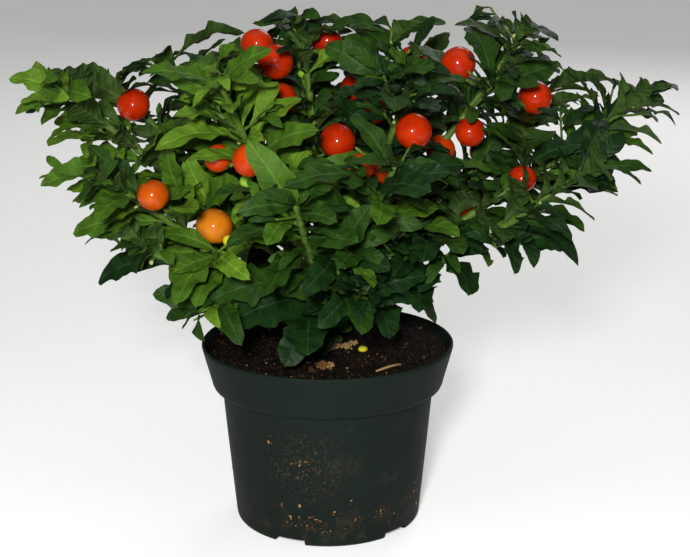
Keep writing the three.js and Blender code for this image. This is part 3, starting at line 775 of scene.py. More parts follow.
class Leaf:
    """A leaf's run, the way its upper side looks, and its form. Its root sits a little inside its shoot."""

    def __init__(self, at, along, length, dice):
        x, y, _ = at.point
        away = Vector((LEAF_FACE["sideways"] * x, y - LEAF_FACE["behind"], 0)).normalized()
        sky = UP + at.along * LEAF_FACE["along"] + away * LEAF_FACE["away"]
        over = (sky - along * sky.dot(along)).normalized()
        roll = math.radians(dice.between(-LEAF_FACE["roll"], LEAF_FACE["roll"]))
        self.over = Quaternion(along, roll) @ over
        self.root = at.point - along * 0.35
        self.along, self.length = along, length
        self.side = along.cross(self.over)
        self.width = LEAF["width"] * dice.between(0.85, 1.15)
        self.arch = dice.between(*LEAF_ARCH[:2])
        self.fold = dice.between(0.12, 0.4)
        self.paler_for_youth_and_light = 0

    def tip(self):
        lift = (LEAF_ARCH[2] - 1) * self.arch * self.length
        return self.root + self.along * self.length + self.over * lift

    def skins(self):
        """All of it, for what grows in other masses, and its blade, for what grows in its own."""
        return self.skin(ROOM_AROUND), self.skin(ROOM_WITHIN, LEAF["free"] / self.length)

    def skin(self, extra, start=0.0):
        """Its surface from a share of its length, this much thicker all round."""
        half = self.length * self.width / 2 + extra
        thick = self.length * LEAF["thickness"] / 2 + extra
        points = []
        for x, y, z in KITE:
            u = mix(start, 1 + extra / self.length, (x + 1) / 2 + (LEAF["widest"] - 0.5) * (1 - x * x))
            lift = abs(z) * half * self.fold + self.arch * self.length * (LEAF_ARCH[2] - u) * u
            flat = self.root + self.along * (self.length * u) + self.side * (z * half)
            points.append(flat + self.over * (lift + y * thick))
        return Skin(points, KITE_FACES)


def underside(point):
    """How low a leaf may hang: higher further out, and lower where one spray hangs over the soil."""
    out = math.hypot(point.x, point.y)
    right = max(0, point.x / out) ** 2
    front = max(0, -point.y / out) ** 2
    outside = min(1, max(0, (out - UNDERSIDE["pot"]) / (UNDERSIDE["open"] - UNDERSIDE["pot"])))
    lowest = UNDERSIDE["left"] + (UNDERSIDE["right"] - UNDERSIDE["left"]) * right * outside
    lowest += (UNDERSIDE["front"] - UNDERSIDE["left"]) * front
    off = abs(math.degrees(math.atan2(point.y, point.x)) - DIP["azimuth"]) / DIP["width"]
    climb = mix(*UNDERSIDE["climbs"], right) * max(0, out - UNDERSIDE["reach"])
    return lowest + climb - (DIP["depth"] if off < 1 else 0)


class Room:
    """All that has grown so far, and what it stands in."""

    def __init__(self):
        self.owners, self.skins = [], []
        self.boxes = np.empty((MOST_SKINS, 12))

    def place(self, owner, full, blade=None):
        blade = blade or full
        self.boxes[len(self.skins)] = np.concatenate([*full.box, *blade.box])
        self.owners.append(owner)
        self.skins.append((full, blade))

    def free(self, owner, full, blade):
        """Whether a new piece has room: all of it among others, its blade in its own mass."""
        boxes = self.boxes[: len(self.skins)]
        near_full = np.all((boxes[:, :3] <= full.box[1]) & (boxes[:, 3:6] >= full.box[0]), axis=1)
        near_blade = np.all((boxes[:, 6:9] <= blade.box[1]) & (boxes[:, 9:] >= blade.box[0]), axis=1)
        for i in np.flatnonzero(near_full | near_blade):
            own = self.owners[i] == owner
            if own and near_blade[i] and blade.tree.overlap(self.skins[i][1].tree):
                return False
            if not own and near_full[i] and full.tree.overlap(self.skins[i][0].tree):
                return False
        return True


def rim_skin():
    """The pot's lip and the soil, which nothing grows through."""
    profile = ((61.5, 89.5), (56, 89.5), (54, 85), (0.01, 85.5))
    turns = [2 * math.pi * i / 24 for i in range(24)]
    points = [(r * math.cos(t), r * math.sin(t), z) for r, z in profile for t in turns]
    return Skin(points, band_faces(len(turns), len(profile) - 1))


class Mass:
    """One branch: its bough, its stem and all that grows on it."""

    def __init__(self, number, branch, line):
        self.name, self.azimuth, _, _, self.berry_count, self.pale = branch
        bare = 0 if self.name == "top" else BARE
        self.dice = Dice(1000 + 77 * number)
        self.bough = None if self.name == "top" else line.stretch(0, bare)
        self.stem = line.stretch(bare + GAP / line.length(), 1)
        self.stem_length = line.length() * (1 - self.stem.first)
        self.joints, self.twigs, self.twiglets, self.leaves, self.berries = [], [], [], [], []


# How far a leaf is swung and lifted, in degrees, and how large it still is, at each try to find it room.
LEAF_TRIES = (
    (0, 0, 1),
    (24, 0, 1),
    (-24, 0, 1),
    (0, -16, 1),
    (0, 18, 0.95),
    (48, -8, 0.9),
    (-48, -8, 0.9),
    (14, 10, 0.76),
    (-14, -20, 0.76),
    (0, -24, 0.62),
)
TWIG_TRIES = (0, 30, -30, 60, -60, 90)


def try_leaf(room, mass, at, turn, tilt, length):
    """A leaf, at the first try that finds it room."""
    for swing, lift, size in LEAF_TRIES:
        run = leaf_run(at, turn + swing, tilt + lift, length * size)
        leaf = Leaf(at, run, length * size, mass.dice)
        if leaf.tip().z < underside(leaf.tip()):
            continue
        full, blade = leaf.skins()
        if room.free(mass.name, full, blade):
            room.place(mass.name, full, blade)
            mass.leaves.append(leaf)
            return


def try_twig(room, mass, at, turn, length):
    """A twig's line, at the first try that finds it room, or nothing."""
    for swing in TWIG_TRIES:
        run = at.aside(turn + swing, TWIG["tilt"])
        run.z = 0.5 * run.z if run.z < 0 else run.z + 0.1
        run.normalize()
        end = at.point + run * length
        knee = at.point + run * (0.5 * length)
        end.z += 0.12 * length
        line = Line(at.point, knee, end)
        if end.z < underside(end) + TWIG["above"]:
            continue
        full = rod_skin(line, lambda u: mix(TWIG["radius"], TWIG["tip"], u) + ROOM_AROUND, 3, 2)
        free = line.stretch(LEAF["free"] / length, 1)
        blade = rod_skin(free, lambda u: mix(TWIG["radius"], TWIG["tip"], u) + ROOM_WITHIN, 3, 2)
        if room.free(mass.name, full, blade):
            room.place(mass.name, full, blade)
            mass.twigs.append((line, length))
            return line
    return None


BALL = [
    (0, 0),
    *[(math.pi * k / 4, 2 * math.pi * i / 6) for k in (1, 2, 3) for i in range(6)],
    (math.pi, 0),
]
BALL_FACES = (
    [(0, 1 + i, 1 + (i + 1) % 6) for i in range(6)]
    + [(a + i, a + 6 + i, a + 6 + (i + 1) % 6, a + (i + 1) % 6) for a in (1, 7) for i in range(6)]
    + [(19, 13 + (i + 1) % 6, 13 + i) for i in range(6)]
)


def ball_skin(centre, radius):
    ways = [Vector((-math.cos(p) * math.sin(t), math.cos(t), math.sin(p) * math.sin(t))) for t, p in BALL]
    return Skin([centre + radius * way for way in ways], BALL_FACES)


def ball_skins(centre, radius):
    return ball_skin(centre, radius + ROOM_AROUND), ball_skin(centre, radius + ROOM_WITHIN)


def hang(room, mass, start, centre, radius, red):
    room.place(mass.name, *ball_skins(centre, radius))
    mass.berries.append((start, centre, radius, red))


def sight_line(centre, radius, reach):
    """From a berry's skin towards where the photograph was taken."""
    ray = (FRONT_VIEW - centre).normalized()
    return straight(centre + ray * (radius + 1), centre + ray * (radius + reach))


def hang_berries(room, masses):
    """The listed berries hang from the nearest stem, the open ones with light falling on them."""
    for place in OPEN_BERRIES + TUCKED_BERRIES:
        centre, radius, red = Vector(place[:3]), place[3], place[4]
        points = [(m.stem.point(k / 40), m) for m in masses for k in range(41)]
        start, mass = min(points, key=lambda p: (p[0] - centre).length)
        hang(room, mass, start, centre, radius, red)
        if place in OPEN_BERRIES:
            light = sight_line(centre, radius, LIGHT_FALLS["reach"])
            room.place("light", rod_skin(light, lambda u: LIGHT_FALLS["radius"], 5, 1))
    for mass in masses:
        for share in BERRY["shares"][: mass.berry_count]:
            at = Frame(mass.stem, share)
            for _ in range(BERRY["tries"]):
                run = at.aside(mass.dice.between(0, 360), 80)
                radius = BERRY["radius"] * mass.dice.between(0.85, 1.05)
                centre = at.point + run * (BERRY["stalk"] + radius)
                if room.free(mass.name, *ball_skins(centre, radius)):
                    hang(room, mass, at.point, centre, radius, BERRY["red"])
                    break


def joints_of(length, spacing):
    """How far along a shoot each of its joints is."""
    joints, at = [], FIRST_JOINT
    while at < length - BARE_END:
        joints.append(at)
        at += mix(spacing["internode"], spacing["tip_internode"], at / length)
    return joints


def leaf_shoot(room, mass, shoot, length, largest, spacing, bear_twig=None):
    """The leaves of one shoot, one step at a time, with one more at its very end."""
    turn = mass.dice.between(0, 360)
    for i, joint in enumerate(joints_of(length, spacing)):
        turn += GOLDEN_TURN
        share = joint / length
        at = Frame(shoot, share)
        size = mix(largest, LEAF["tip"], max(0, share - LEAF["shrinks"]) / (1 - LEAF["shrinks"]))
        size *= mass.dice.between(0.85, 1.12)
        try_leaf(room, mass, at, turn, mix(LEAF_TILT[0], LEAF_TILT[1], share), size)
        mass.joints.append((at, turn, share))
        if bear_twig and i % TWIG["every"] == 1:
            yield from bear_twig(share + 0.4 * spacing["internode"] / length, turn + 60)
        yield
    try_leaf(room, mass, Frame(shoot, 1 - 1 / length), turn, LEAF_TILT[2], 0.8 * LEAF["tip"])


def growth(room, mass):
    """The steps in which one mass grows."""

    def bear_twig(share, turn):
        if share > TWIG["last"]:
            return
        length = mix(TWIG["longest"], TWIG["shortest"], share) * mass.dice.between(0.85, 1.1)
        line = try_twig(room, mass, Frame(mass.stem, share), turn, length)
        if line:
            yield from leaf_shoot(room, mass, line, length, 0.8 * LEAF["length"], TWIG)

    yield from leaf_shoot(room, mass, mass.stem, mass.stem_length, LEAF["length"], STEM, bear_twig)


def mass_named(masses, name):
    return next(m for m in masses if m.name == name)


def leaf_to(tip, mass, line, share):
    """A leaf from a share of the line to its tip's given place, with no test for room."""
    at = Frame(line, share)
    run = Vector(tip) - at.point
    leaf = Leaf(at, run.normalized(), run.length, mass.dice)
    mass.leaves.append(leaf)
    return leaf


def grow_plant():
    """The room that is taken, the masses, and the leaves that hang low."""
    lines = branch_lines()
    masses = [Mass(i, branch, lines[branch[0]]) for i, branch in enumerate(BRANCHES)]
    room = Room()
    room.place("trunk", rod_skin(trunk_line, lambda u: trunk_radius(u) + GAP, 8, 5))
    room.place("rim", rim_skin())
    for mass in masses:
        skin = rod_skin(mass.stem, lambda u: mix(STEM["radius"], STEM["tip"], u) + ROOM_AROUND, 3, 5)
        room.place(mass.name, skin)
        if mass.bough:
            room.place("boughs", rod_skin(mass.bough, lambda u: BOUGH_RADIUS, 5, 3))
    hang_berries(room, masses)
    low_leaves = []
    for name, share, tip in LOW_LEAVES:
        mass = mass_named(masses, name)
        leaf = leaf_to(tip, mass, mass.stem, share)
        room.place(mass.name, *leaf.skins())
        low_leaves.append(leaf)
    running = [growth(room, mass) for mass in masses]
    while running:
        running = [steps for steps in running if next(steps, "done") != "done"]
    return room, masses, low_leaves


room, masses, low_leaves = grow_plant()

# The trunk and the bare boughs: short, woody and grey-brown at the foot, greener and ribbed further up, with
# raised ridges of bark. The boughs leave the trunk where the CAD's do, and each ends where its stem starts.


def tube_pattern(sides, rings):
    """An upright tube, to be laid along a line."""
    shape = bmesh.new()
    bmesh.ops.create_cone(shape, cap_ends=True, segments=sides, radius1=1, radius2=1, depth=1)
    upright = [e for e in shape.edges if abs(e.verts[0].co.z - e.verts[1].co.z) > 0.5]
    bmesh.ops.subdivide_edges(shape, edges=upright, cuts=rings - 1, use_grid_fill=True)
    return Pattern(shape)


def lay_tube(into, pattern, line, radius_at):
    """Lays the pattern along a line; radius_at takes the share of the line and the turn round it."""
    shares, ring = np.unique(np.round(pattern.points[:, 2] + 0.5, 5), return_inverse=True)
    stops = [Frame(line, u) for u in shares]
    point = np.array([at.point for at in stops])[ring]
    across = np.array([at.across for at in stops])[ring]
    over = np.array([at.over for at in stops])[ring]
    turn = np.arctan2(pattern.points[:, 1], pattern.points[:, 0])
    radius = radius_at(shares[ring], turn)[:, None]
    x, y = pattern.points[:, :1], pattern.points[:, 1:2]
    into.lay(pattern, point + across * (x * radius) + over * (-y * radius), [0])


def bark_relief(shares, turn, length, depth, seed):
    """Ridges that run up the bark and part here and there."""
    values = [
        noise.noise((2.6 * math.cos(t), 2.6 * math.sin(t), u * length / 9 + seed))
        + 0.6 * noise.noise((6 * math.cos(t), 6 * math.sin(t), u * length / 5 + seed))
        for u, t in zip(shares, turn)
    ]
    return depth * np.array(values)


def wood_paint():
    paint, place = start_paint("green_wood", Specular_IOR_Level=0.3)
    height = place.axis("Z")
    ridges = place.drawn_out(0.22).clouds(900, 4, 0.6)
    bark = ridges.step(0.35, 0.65).blend((0.030, 0.020, 0.011), (0.13, 0.098, 0.055))
    green = ridges.step(0.30, 0.70).blend((0.030, 0.046, 0.010), (0.090, 0.125, 0.030))
    youth = (height * 1000 + place.clouds(90, 3) * 30).step(112, 138)
    return finish_paint(
        paint, Base_Color=youth.blend(bark, green), Roughness=ridges * 0.25 + 0.5, Normal=ridges.relief(0.35)
    )


wood = Joined()
trunk_tube = tube_pattern(36, 60)


def trunk_skin(u, turn):
    roots = 1.5 * np.maximum(0, 1 - 5 * u) ** 2 * (0.5 + 0.5 * np.cos(5 * turn + 1.2))
    return np.array([trunk_radius(v) for v in u]) + bark_relief(u, turn, TRUNK_HEIGHT, 0.55, 3) + roots


buried = Line(trunk_line.start - UP * 3, trunk_line.knee, trunk_line.tip)  # 3 mm into the soil
lay_tube(wood, trunk_tube, buried, trunk_skin)
bough_tube = tube_pattern(14, 26)
for number, mass in enumerate(masses):
    if mass.bough:
        length = mass.bough.length()

        def bough_skin(u, turn):
            collar = 1.3 * np.exp(-((u * length) ** 2) / 18)
            return mix(2.0, 1.75, u) + collar + bark_relief(u, turn, length, 0.22, 10 * number)

        lay_tube(wood, bough_tube, mass.bough, bough_skin)
wood = wood.piece("trunk_and_boughs", [wood_paint()])
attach(wood, "root")
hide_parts("trunk", *("bough_" + m.name for m in masses if m.bough))

# Finer growth, by the same rule: further leaves round each joint, short side twigs, small crisp leaves in the
# leaf joints, and a tuft of the youngest at the end of each stem and twig.

# How far each further leaf is turned from its joint's own, and its length. The right arm has more of them.
FURTHER_LEAVES = ((180, 34), (90, 28), (-90, 24))
FULLER_LEAVES = ((135, 32), (-135, 28), (45, 24))
FULLER = ("right_top", "right_far", "right_mid", "far_right_back", "back_right")
# How often a joint bears each kind of growth, and the leaves of a twiglet and a tuft.
CHANCE = {"further": 0.75, "twiglet": 0.6, "crisp": 0.6}
TWIGLET_LEAVES = 5
TUFT_LEAVES = 8
# Four young leaves that stand up from the trunk's foot, by the places of their tips.
FOOT_LEAVES = ((-1, -19, 90), (11, -8, 97), (-8, -12, 96), (4, -14, 93))
# The berries that the photograph shows whole, and the way to them that is kept clear.
WHOLE_BERRIES = (OPEN_BERRIES[0], OPEN_BERRIES[3], OPEN_BERRIES[10])
CLEAR_SIGHT = {"reach": 70, "radius": 0.85, "around": 0.8}
# The leaves that half hide a berry: the branch, how far along its stem, the tip's place and how wide.
COVER_LEAVES = (
    ("front", 0.74, (-29, -84, 197), 0.85),
    ("right_mid", 0.56, (89, -38, 184), 1.0),
    ("left_front", 0.42, (-54, -57, 190), 0.9),
)


def in_reach(tip):
    """Whether a leaf's tip stays within the CAD's crown."""
    return all(low / MM - 1 < at < high / MM + 1 for at, low, high in zip(tip, *cad_box))


def add_leaf(mass, at, turn, tilt, length, free=LEAF["free"], extra=0.0):
    """A further leaf, where there is room for its blade from free millimetres on."""
    leaf = Leaf(at, leaf_run(at, turn, tilt, length), length, mass.dice)
    if leaf.tip().z < underside(leaf.tip()) or not in_reach(leaf.tip()):
        return
    blade = leaf.skin(extra, min(0.6, free / leaf.length))
    if room.free(mass.name, blade, blade):
        room.place(mass.name, blade)
        mass.leaves.append(leaf)


def add_twiglet(mass, at, turn, length):
    """A short side twig with small leaves, where there is room for it."""
    run = at.aside(turn, mass.dice.between(40, 65))
    run.z = 0.4 * run.z + 0.05
    run.normalize()
    line = Line(at.point, at.point + run * (0.5 * length), at.point + run * length + UP * (0.1 * length))
    blade = rod_skin(line.stretch(2.6 / length, 1), lambda u: 0.5, 3, 2)
    if line.tip.z < underside(line.tip) + 6 or not room.free(mass.name, blade, blade):
        return
    room.place(mass.name, blade)
    mass.twiglets.append(line)
    around = mass.dice.between(0, 360)
    for k in range(TWIGLET_LEAVES):
        around += GOLDEN_TURN
        down = k / (TWIGLET_LEAVES - 1)
        size = mix(12, 24, down) * mass.dice.between(0.85, 1.2)
        add_leaf(mass, Frame(line, 1 - 0.2 * k), around, mix(24, 58, down), size, 2.6, -0.1)


for number, mass in enumerate(masses):
    mass.leaves = [leaf for leaf in mass.leaves if in_reach(leaf.tip() * 0.9 + leaf.root * 0.1)]
    mass.dice = Dice(5000 + 31 * number)
    for at, turn, share in mass.joints:
        for swing, size in FURTHER_LEAVES + (FULLER_LEAVES if mass.name in FULLER else ()):
            if share > 0.1 and mass.dice.between(0, 1) < CHANCE["further"]:
                length = size * mass.dice.between(0.7, 1.15)
                add_leaf(mass, at, turn + swing, mix(68, 44, share), length)
for mass in masses:
    for at, turn, share in mass.joints:
        if share > 0.08 and mass.dice.between(0, 1) < CHANCE["twiglet"]:
            add_twiglet(mass, at, turn + mass.dice.between(40, 90), mass.dice.between(13, 22))
for mass in masses:
    for line, length in [(mass.stem, mass.stem_length), *mass.twigs]:
        turn = mass.dice.between(0, 360)
        for k in range(TUFT_LEAVES):
            turn += GOLDEN_TURN
            at = Frame(line, 1 - (1.0 + 1.3 * k) / length)
            down = k / TUFT_LEAVES
            size = mix(8, 18, down) * mass.dice.between(0.8, 1.2)
            add_leaf(mass, at, turn, mix(30, 66, down), size, 3.0, -0.15)
    for at, turn, _ in mass.joints:
        for swing in (20, -25):
            if mass.dice.between(0, 1) < CHANCE["crisp"]:
                size = mass.dice.between(8, 16)
                add_leaf(mass, at, turn + swing, mass.dice.between(25, 50), size, 2.5, -0.1)
for tip in FOOT_LEAVES:
    # The young foot leaves are their own paler green.
    leaf_to(tip, mass_named(masses, "front_low"), trunk_line, 0.14).paler_for_youth_and_light = 0.5
for x, y, z, radius, _ in WHOLE_BERRIES:
    sight = sight_line(Vector((x, y, z)), radius, CLEAR_SIGHT["reach"])
    clear = rod_skin(sight, lambda u: CLEAR_SIGHT["radius"] * radius, 8, 1).tree
    for mass in masses:
        leaves = mass.leaves
        mass.leaves = [leaf for leaf in leaves if not leaf.skin(CLEAR_SIGHT["around"]).tree.overlap(clear)]
for name, share, tip, slim in COVER_LEAVES:
    mass = mass_named(masses, name)
    leaf = leaf_to(tip, mass, mass.stem, share)
    leaf.width *= slim
    # Painted light: these are made paler, like the lit leaves around them.
    leaf.paler_for_youth_and_light = 0.25

# The green stems and twigs: smooth, round and a little thicker at each joint, with faint darker streaks. A
# stem goes on where its bough ends, and the side twigs and the berries' stalks come out of it.


def stem_paint():
    paint, place = start_paint("green_stem", Specular_IOR_Level=0.15)
    streaks = place.drawn_out(0.4).clouds(600, 3)
    colour = streaks.step(0.3, 0.7).blend((0.040, 0.085, 0.009), (0.078, 0.132, 0.019))
    return finish_paint(paint, Base_Color=colour, Roughness=streaks * 0.2 + 0.38, Normal=streaks.relief(0.12))


def shoot_radius(length, radii, knots):
    """The radius of a shoot that tapers from one to the other of its radii, thicker at its knots."""

    def radius_at(u, turn):
        radius = mix(radii[0], radii[1], u)
        for knot in knots:
            radius = radius + 0.28 * radii[0] * np.exp(-(((u - knot) * length) ** 2) / 2.5)
        return radius * (1 + 0.05 * np.cos(3 * turn))

    return radius_at


def stalk_end(start, centre):
    """The side of a berry where its stalk joins: mostly its underside."""
    return ((start - centre).normalized() * 0.7 - UP * 0.7 - Vector((0, 0.15, 0))).normalized()


shoots = Joined()
stem_tube, twig_tube, stalk_tube = tube_pattern(9, 44), tube_pattern(7, 12), tube_pattern(7, 6)
for mass in masses:
    knots = [j / mass.stem_length for j in joints_of(mass.stem_length, STEM)]
    shape = shoot_radius(mass.stem_length, (STEM["radius"], STEM["tip"]), knots)
    lay_tube(shoots, stem_tube, mass.stem, shape)
    for line, length in mass.twigs:
        knots = [j / length for j in joints_of(length, TWIG)]
        shape = shoot_radius(length, (TWIG["radius"] * 1.1, TWIG["tip"]), knots)
        lay_tube(shoots, twig_tube, line, shape)
    for line in mass.twiglets:
        lay_tube(shoots, stalk_tube, line, lambda u, turn: mix(0.75, 0.5, u))
    for start, centre, radius, _ in mass.berries:
        end = centre + stalk_end(start, centre) * (0.88 * radius)
        knee = (start + end) / 2 + stalk_end(start, centre) * 3
        lay_tube(shoots, stalk_tube, Line(start, knee, end), lambda u, turn: 0.7 + 0.7 * u**3)
shoots = shoots.piece("stems_and_twigs", [stem_paint()])
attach(shoots, "root")
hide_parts(*("foliage_" + m.name for m in masses))

# The leaves: thin, satin, longer than wide, with a wavy edge, a paler sunken midrib and a paler underside.
# Their greens are dealt out by branch as painted light and shade: paler on the front left, which catches
# the light, and deep on the low ones and near the middle of the crown, where shade falls.


def leaf_pattern(rows, columns):
    """A closed leaf laid flat: x from root to tip, y across, z 1 on its upper face and -1 on its lower."""
    shape = bmesh.new()
    bmesh.ops.create_grid(shape, x_segments=rows, y_segments=columns, size=1)
    for v in shape.verts:
        v.co.z = 0.0 if v.is_boundary else 1.0
        v.co.x = 1 - 2 * ((1 - v.co.x) / 2) ** 1.35
    for f in shape.faces:
        middle = f.calc_center_median()
        f.material_index = 1 if columns % 2 and abs(middle.y) < 0.5 / columns else 0
    under = bmesh.ops.duplicate(shape, geom=shape.verts[:] + shape.edges[:] + shape.faces[:])["geom"]
    under_faces = [g for g in under if isinstance(g, bmesh.types.BMFace)]
    bmesh.ops.reverse_faces(shape, faces=under_faces)
    for f in under_faces:
        f.material_index += 2
    for v in {v for f in under_faces for v in f.verts}:
        v.co.z *= -1
    bmesh.ops.remove_doubles(shape, verts=shape.verts, dist=1e-5)
    pattern = Pattern(shape)
    pattern.columns = columns
    return pattern


def leaf_points(pattern, leaf):
    """The pattern's points on a leaf, with its outline, waves, fold and droop."""
    x, y, z = pattern.points.T
    u = (x + 1) / 2
    length = leaf.length
    half = length * leaf.width / 2 * leaf.breadth
    outline = np.sin(np.pi * np.clip(u, 1e-6, 1 - 1e-6) ** 1.45) ** mix(1.3, 0.42, u)
    round_tip = 0.10 * (u > 0.99)
    wide = np.maximum(half * np.maximum(outline, round_tip), mix(0.8, 0.5, u))
    window = np.clip(4 * (u - 0.12), 0, 1) * np.clip(6 * (1 - u), 0, 1)
    sides = np.where(y < 0, leaf.phases[0], leaf.phases[1])
    waves = leaf.waves * u * 2 * math.pi
    lobes = 1 + leaf.lobes * window * (np.sin(waves + sides) + 0.4 * np.sin(2.3 * waves + 2 * sides))
    rib = mix(0.75, 0.22, u)
    inner = 1.0 / pattern.columns
    v = np.abs(y)
    has_rib = pattern.columns % 2
    on_rib = v < inner * 1.01
    if has_rib:
        share = np.clip((v - inner) / (1 - inner), 0, 1)
        beside = np.minimum(rib, 0.6 * wide)
        reach = np.where(on_rib, beside, beside * (1 - share) + wide * lobes * share)
        reach = reach * (v > 1e-6)
    else:
        reach = wide * lobes * v
    across = np.sign(y) * reach
    u = u - 0.012 * v**2 * np.clip((u - 0.8) / 0.2, 0, 1)
    swell = np.sin(0.8 * waves + sides + 1.3) + 0.4 * np.sin(1.9 * waves + sides)
    ripple = leaf.ripple * length * window * v**1.5 * swell
    arch = leaf.arch * length * (LEAF_ARCH[2] - u) * u
    droop = leaf.curl * length * np.maximum(0, u - 0.62) ** 2
    lift = reach * leaf.fold * (1.1 - 0.7 * u) + arch - droop
    lift = lift + ripple - 0.35 * on_rib * has_rib
    thick = z * (0.16 + 0.1 * (1 - u)) * np.where(on_rib, 1.6, 1.0)
    twist = leaf.twist * u
    side_shift = across * np.cos(twist) + leaf.sway * length * u**2
    lift = lift + across * np.sin(twist)
    return (
        np.array(leaf.root)
        + np.outer(u * length, leaf.along)
        + np.outer(side_shift, leaf.side)
        + np.outer(lift + thick, leaf.over)
    )


def leaf_paint(name, deep, bright, rough):
    """A green, mottled a little, with faint side veins that slant from the midrib."""
    paint, place = start_paint(name, Specular_IOR_Level=0.10)
    flat = place.node("UVMap", {"uv_map": "flat"})
    off_rib = (flat.axis("Y") - 0.5).maths("ABSOLUTE")
    saw = ((flat.axis("X") - off_rib * 0.30) * 7.0).maths("PINGPONG", 0.5)
    vein = saw.step(0.08, 0.01) * 0.35
    colour = place.clouds(160, 3).step(0.32, 0.68).blend(deep, bright)
    colour = vein.blend(colour, tuple(1.3 * c + 0.004 for c in bright))
    puckers = saw.step(0.0, 0.3) * 0.7 + place.clouds(420, 2) * 0.4
    rough = place.clouds(240, 2) * 0.16 + rough
    return finish_paint(paint, Base_Color=colour, Roughness=rough, Normal=puckers.relief(0.28))


# How long a leaf is below which it is young and crisp.
CRISP = 24
GREENS = (
    ("deep", (0.0036, 0.0145, 0.0030), (0.0072, 0.0250, 0.0040), 0.42),
    ("green", (0.0098, 0.0290, 0.0030), (0.0175, 0.0470, 0.0045), 0.46),
    ("bright", (0.028, 0.068, 0.0045), (0.044, 0.100, 0.0065), 0.50),
    ("pale", (0.058, 0.118, 0.007), (0.086, 0.165, 0.011), 0.52),
)
# Four greens of blade, the same four of midrib, then the underside's blade and midrib.
leaf_paints = [leaf_paint("leaf_" + name, deep, bright, rough) for name, deep, bright, rough in GREENS]
for name, deep, bright, rough in GREENS:
    rib = [tuple(1.5 * c + 0.006 for c in colour) for colour in (deep, bright)]
    leaf_paints.append(leaf_paint("rib_" + name, *rib, rough))
leaf_paints.append(leaf_paint("leaf_underside", (0.026, 0.056, 0.010), (0.044, 0.084, 0.016), 0.62))
leaf_paints.append(leaf_paint("rib_underside", (0.045, 0.085, 0.016), (0.070, 0.115, 0.026), 0.58))
large_leaf, small_leaf = leaf_pattern(24, 5), leaf_pattern(9, 4)


def region_of(mass):
    """Which side of the plant a branch's leaves belong to."""
    if 20 < mass.azimuth < 150:
        return "back"
    if -125 <= mass.azimuth <= -40:
        return "front"
    return "left" if abs(mass.azimuth) > 90 else "right"


regions = {"left": Joined(), "front": Joined(), "right": Joined(), "back": Joined()}
for mass in masses:
    for leaf in mass.leaves:
        crisp = leaf.length < CRISP
        over_pot = leaf.root.z < 122 and leaf.root.x > -25
        leaf.breadth = rng.uniform(0.78, 0.95) * (1.3 if over_pot else 1)
        leaf.phases = rng.uniform(0, 2 * math.pi, 2)
        leaf.waves = leaf.length / rng.uniform(9, 13) if not crisp else rng.uniform(1.2, 2.2)
        leaf.lobes = rng.uniform(0.05, 0.12) * (1.6 if leaf.root.z < 130 else 1)
        leaf.ripple = rng.uniform(0.018, 0.045) * (1.9 if crisp else 1)
        leaf.curl = rng.uniform(0.0, 0.7) * (2.2 if crisp else 1)
        leaf.twist = rng.uniform(-0.45, 0.45)
        leaf.sway = rng.uniform(-0.10, 0.10)
        if leaf in low_leaves:
            leaf.breadth, leaf.twist = 1.45, 0
        # Painted shade: leaves near the middle of the crown are made darker, and the branch's paleness is
        # painted light and shade.
        inner_shade = 0.16 * max(0.0, 1 - (leaf.root - trunk_line.tip).length / 60)
        shade = mass.pale + rng.normal() * 0.15 - inner_shade - (0.10 if crisp else 0) + leaf.paler_for_youth_and_light
        green = int(np.clip(shade * 4, 0, 3))
        pattern = small_leaf if crisp else large_leaf
        paints = [green, len(GREENS) + green, 2 * len(GREENS), 2 * len(GREENS) + 1]
        regions[region_of(mass)].lay(pattern, leaf_points(pattern, leaf), paints)
for region, leaves in regions.items():
    piece = leaves.piece("leaves_" + region, leaf_paints, with_flat=True)
    piece.data.set_sharp_from_angle(angle=math.radians(75))
    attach(piece, "root")
    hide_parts(*("foliage_" + m.name for m in masses if region_of(m) == region))

# The berries: round, firm and glossy, each on a short green stalk with a small five-pointed calyx.
# Most are ripe and orange-red, the lower ones still orange, and a few young ones are green or yellow.

# The tiny young ones: the middle, the radius and how red.
YOUNG_BERRIES = (
    (-36.4, -44, 171.5, 2.9, 0.05),
    (-43.2, -40, 146, 2.6, 0.30),
    (15.6, -52, 174, 2.2, 0.35),
    (5.1, -20, 126.4, 2.6, 0.0),
    (-11, 6, 214, 2.4, 0.1),
    (90, 52, 176, 2.8, 0.1),
    (-60, 62, 178, 2.6, 0.3),
    (14, 96, 180, 2.6, 0.05),
)


def berry_pattern():
    """A ball with a dimple at its stalk, which is at +Z, and a tiny scar below."""
    shape = bmesh.new()
    bmesh.ops.create_uvsphere(shape, u_segments=28, v_segments=18, radius=1)
    for v in shape.verts:
        out = math.hypot(v.co.x, v.co.y)
        if v.co.z > 0:
            v.co.z -= 0.16 * math.exp(-((out / 0.22) ** 2))
        else:
            v.co.z += 0.03 * math.exp(-((out / 0.08) ** 2))
        v.co.z *= 0.97
    return Pattern(shape)


def calyx_pattern():
    """Five narrow sepals that hug the berry round its stalk."""
    shape = bmesh.new()
    bmesh.ops.create_circle(shape, cap_ends=True, segments=20, radius=1)
    bmesh.ops.poke(shape, faces=shape.faces[:])
    for v in shape.verts:
        out = math.hypot(v.co.x, v.co.y)
        if out > 0.5:
            point = round(math.degrees(math.atan2(v.co.y, v.co.x)) / 18) % 4
            v.co *= (0.72, 0.30, 0.20, 0.30)[point]
            out = math.hypot(v.co.x, v.co.y)
        v.co.z = math.sqrt(max(0, 1.03 - out * out)) - 0.06
    bmesh.ops.solidify(shape, geom=shape.faces[:], thickness=0.05)
    return Pattern(shape)


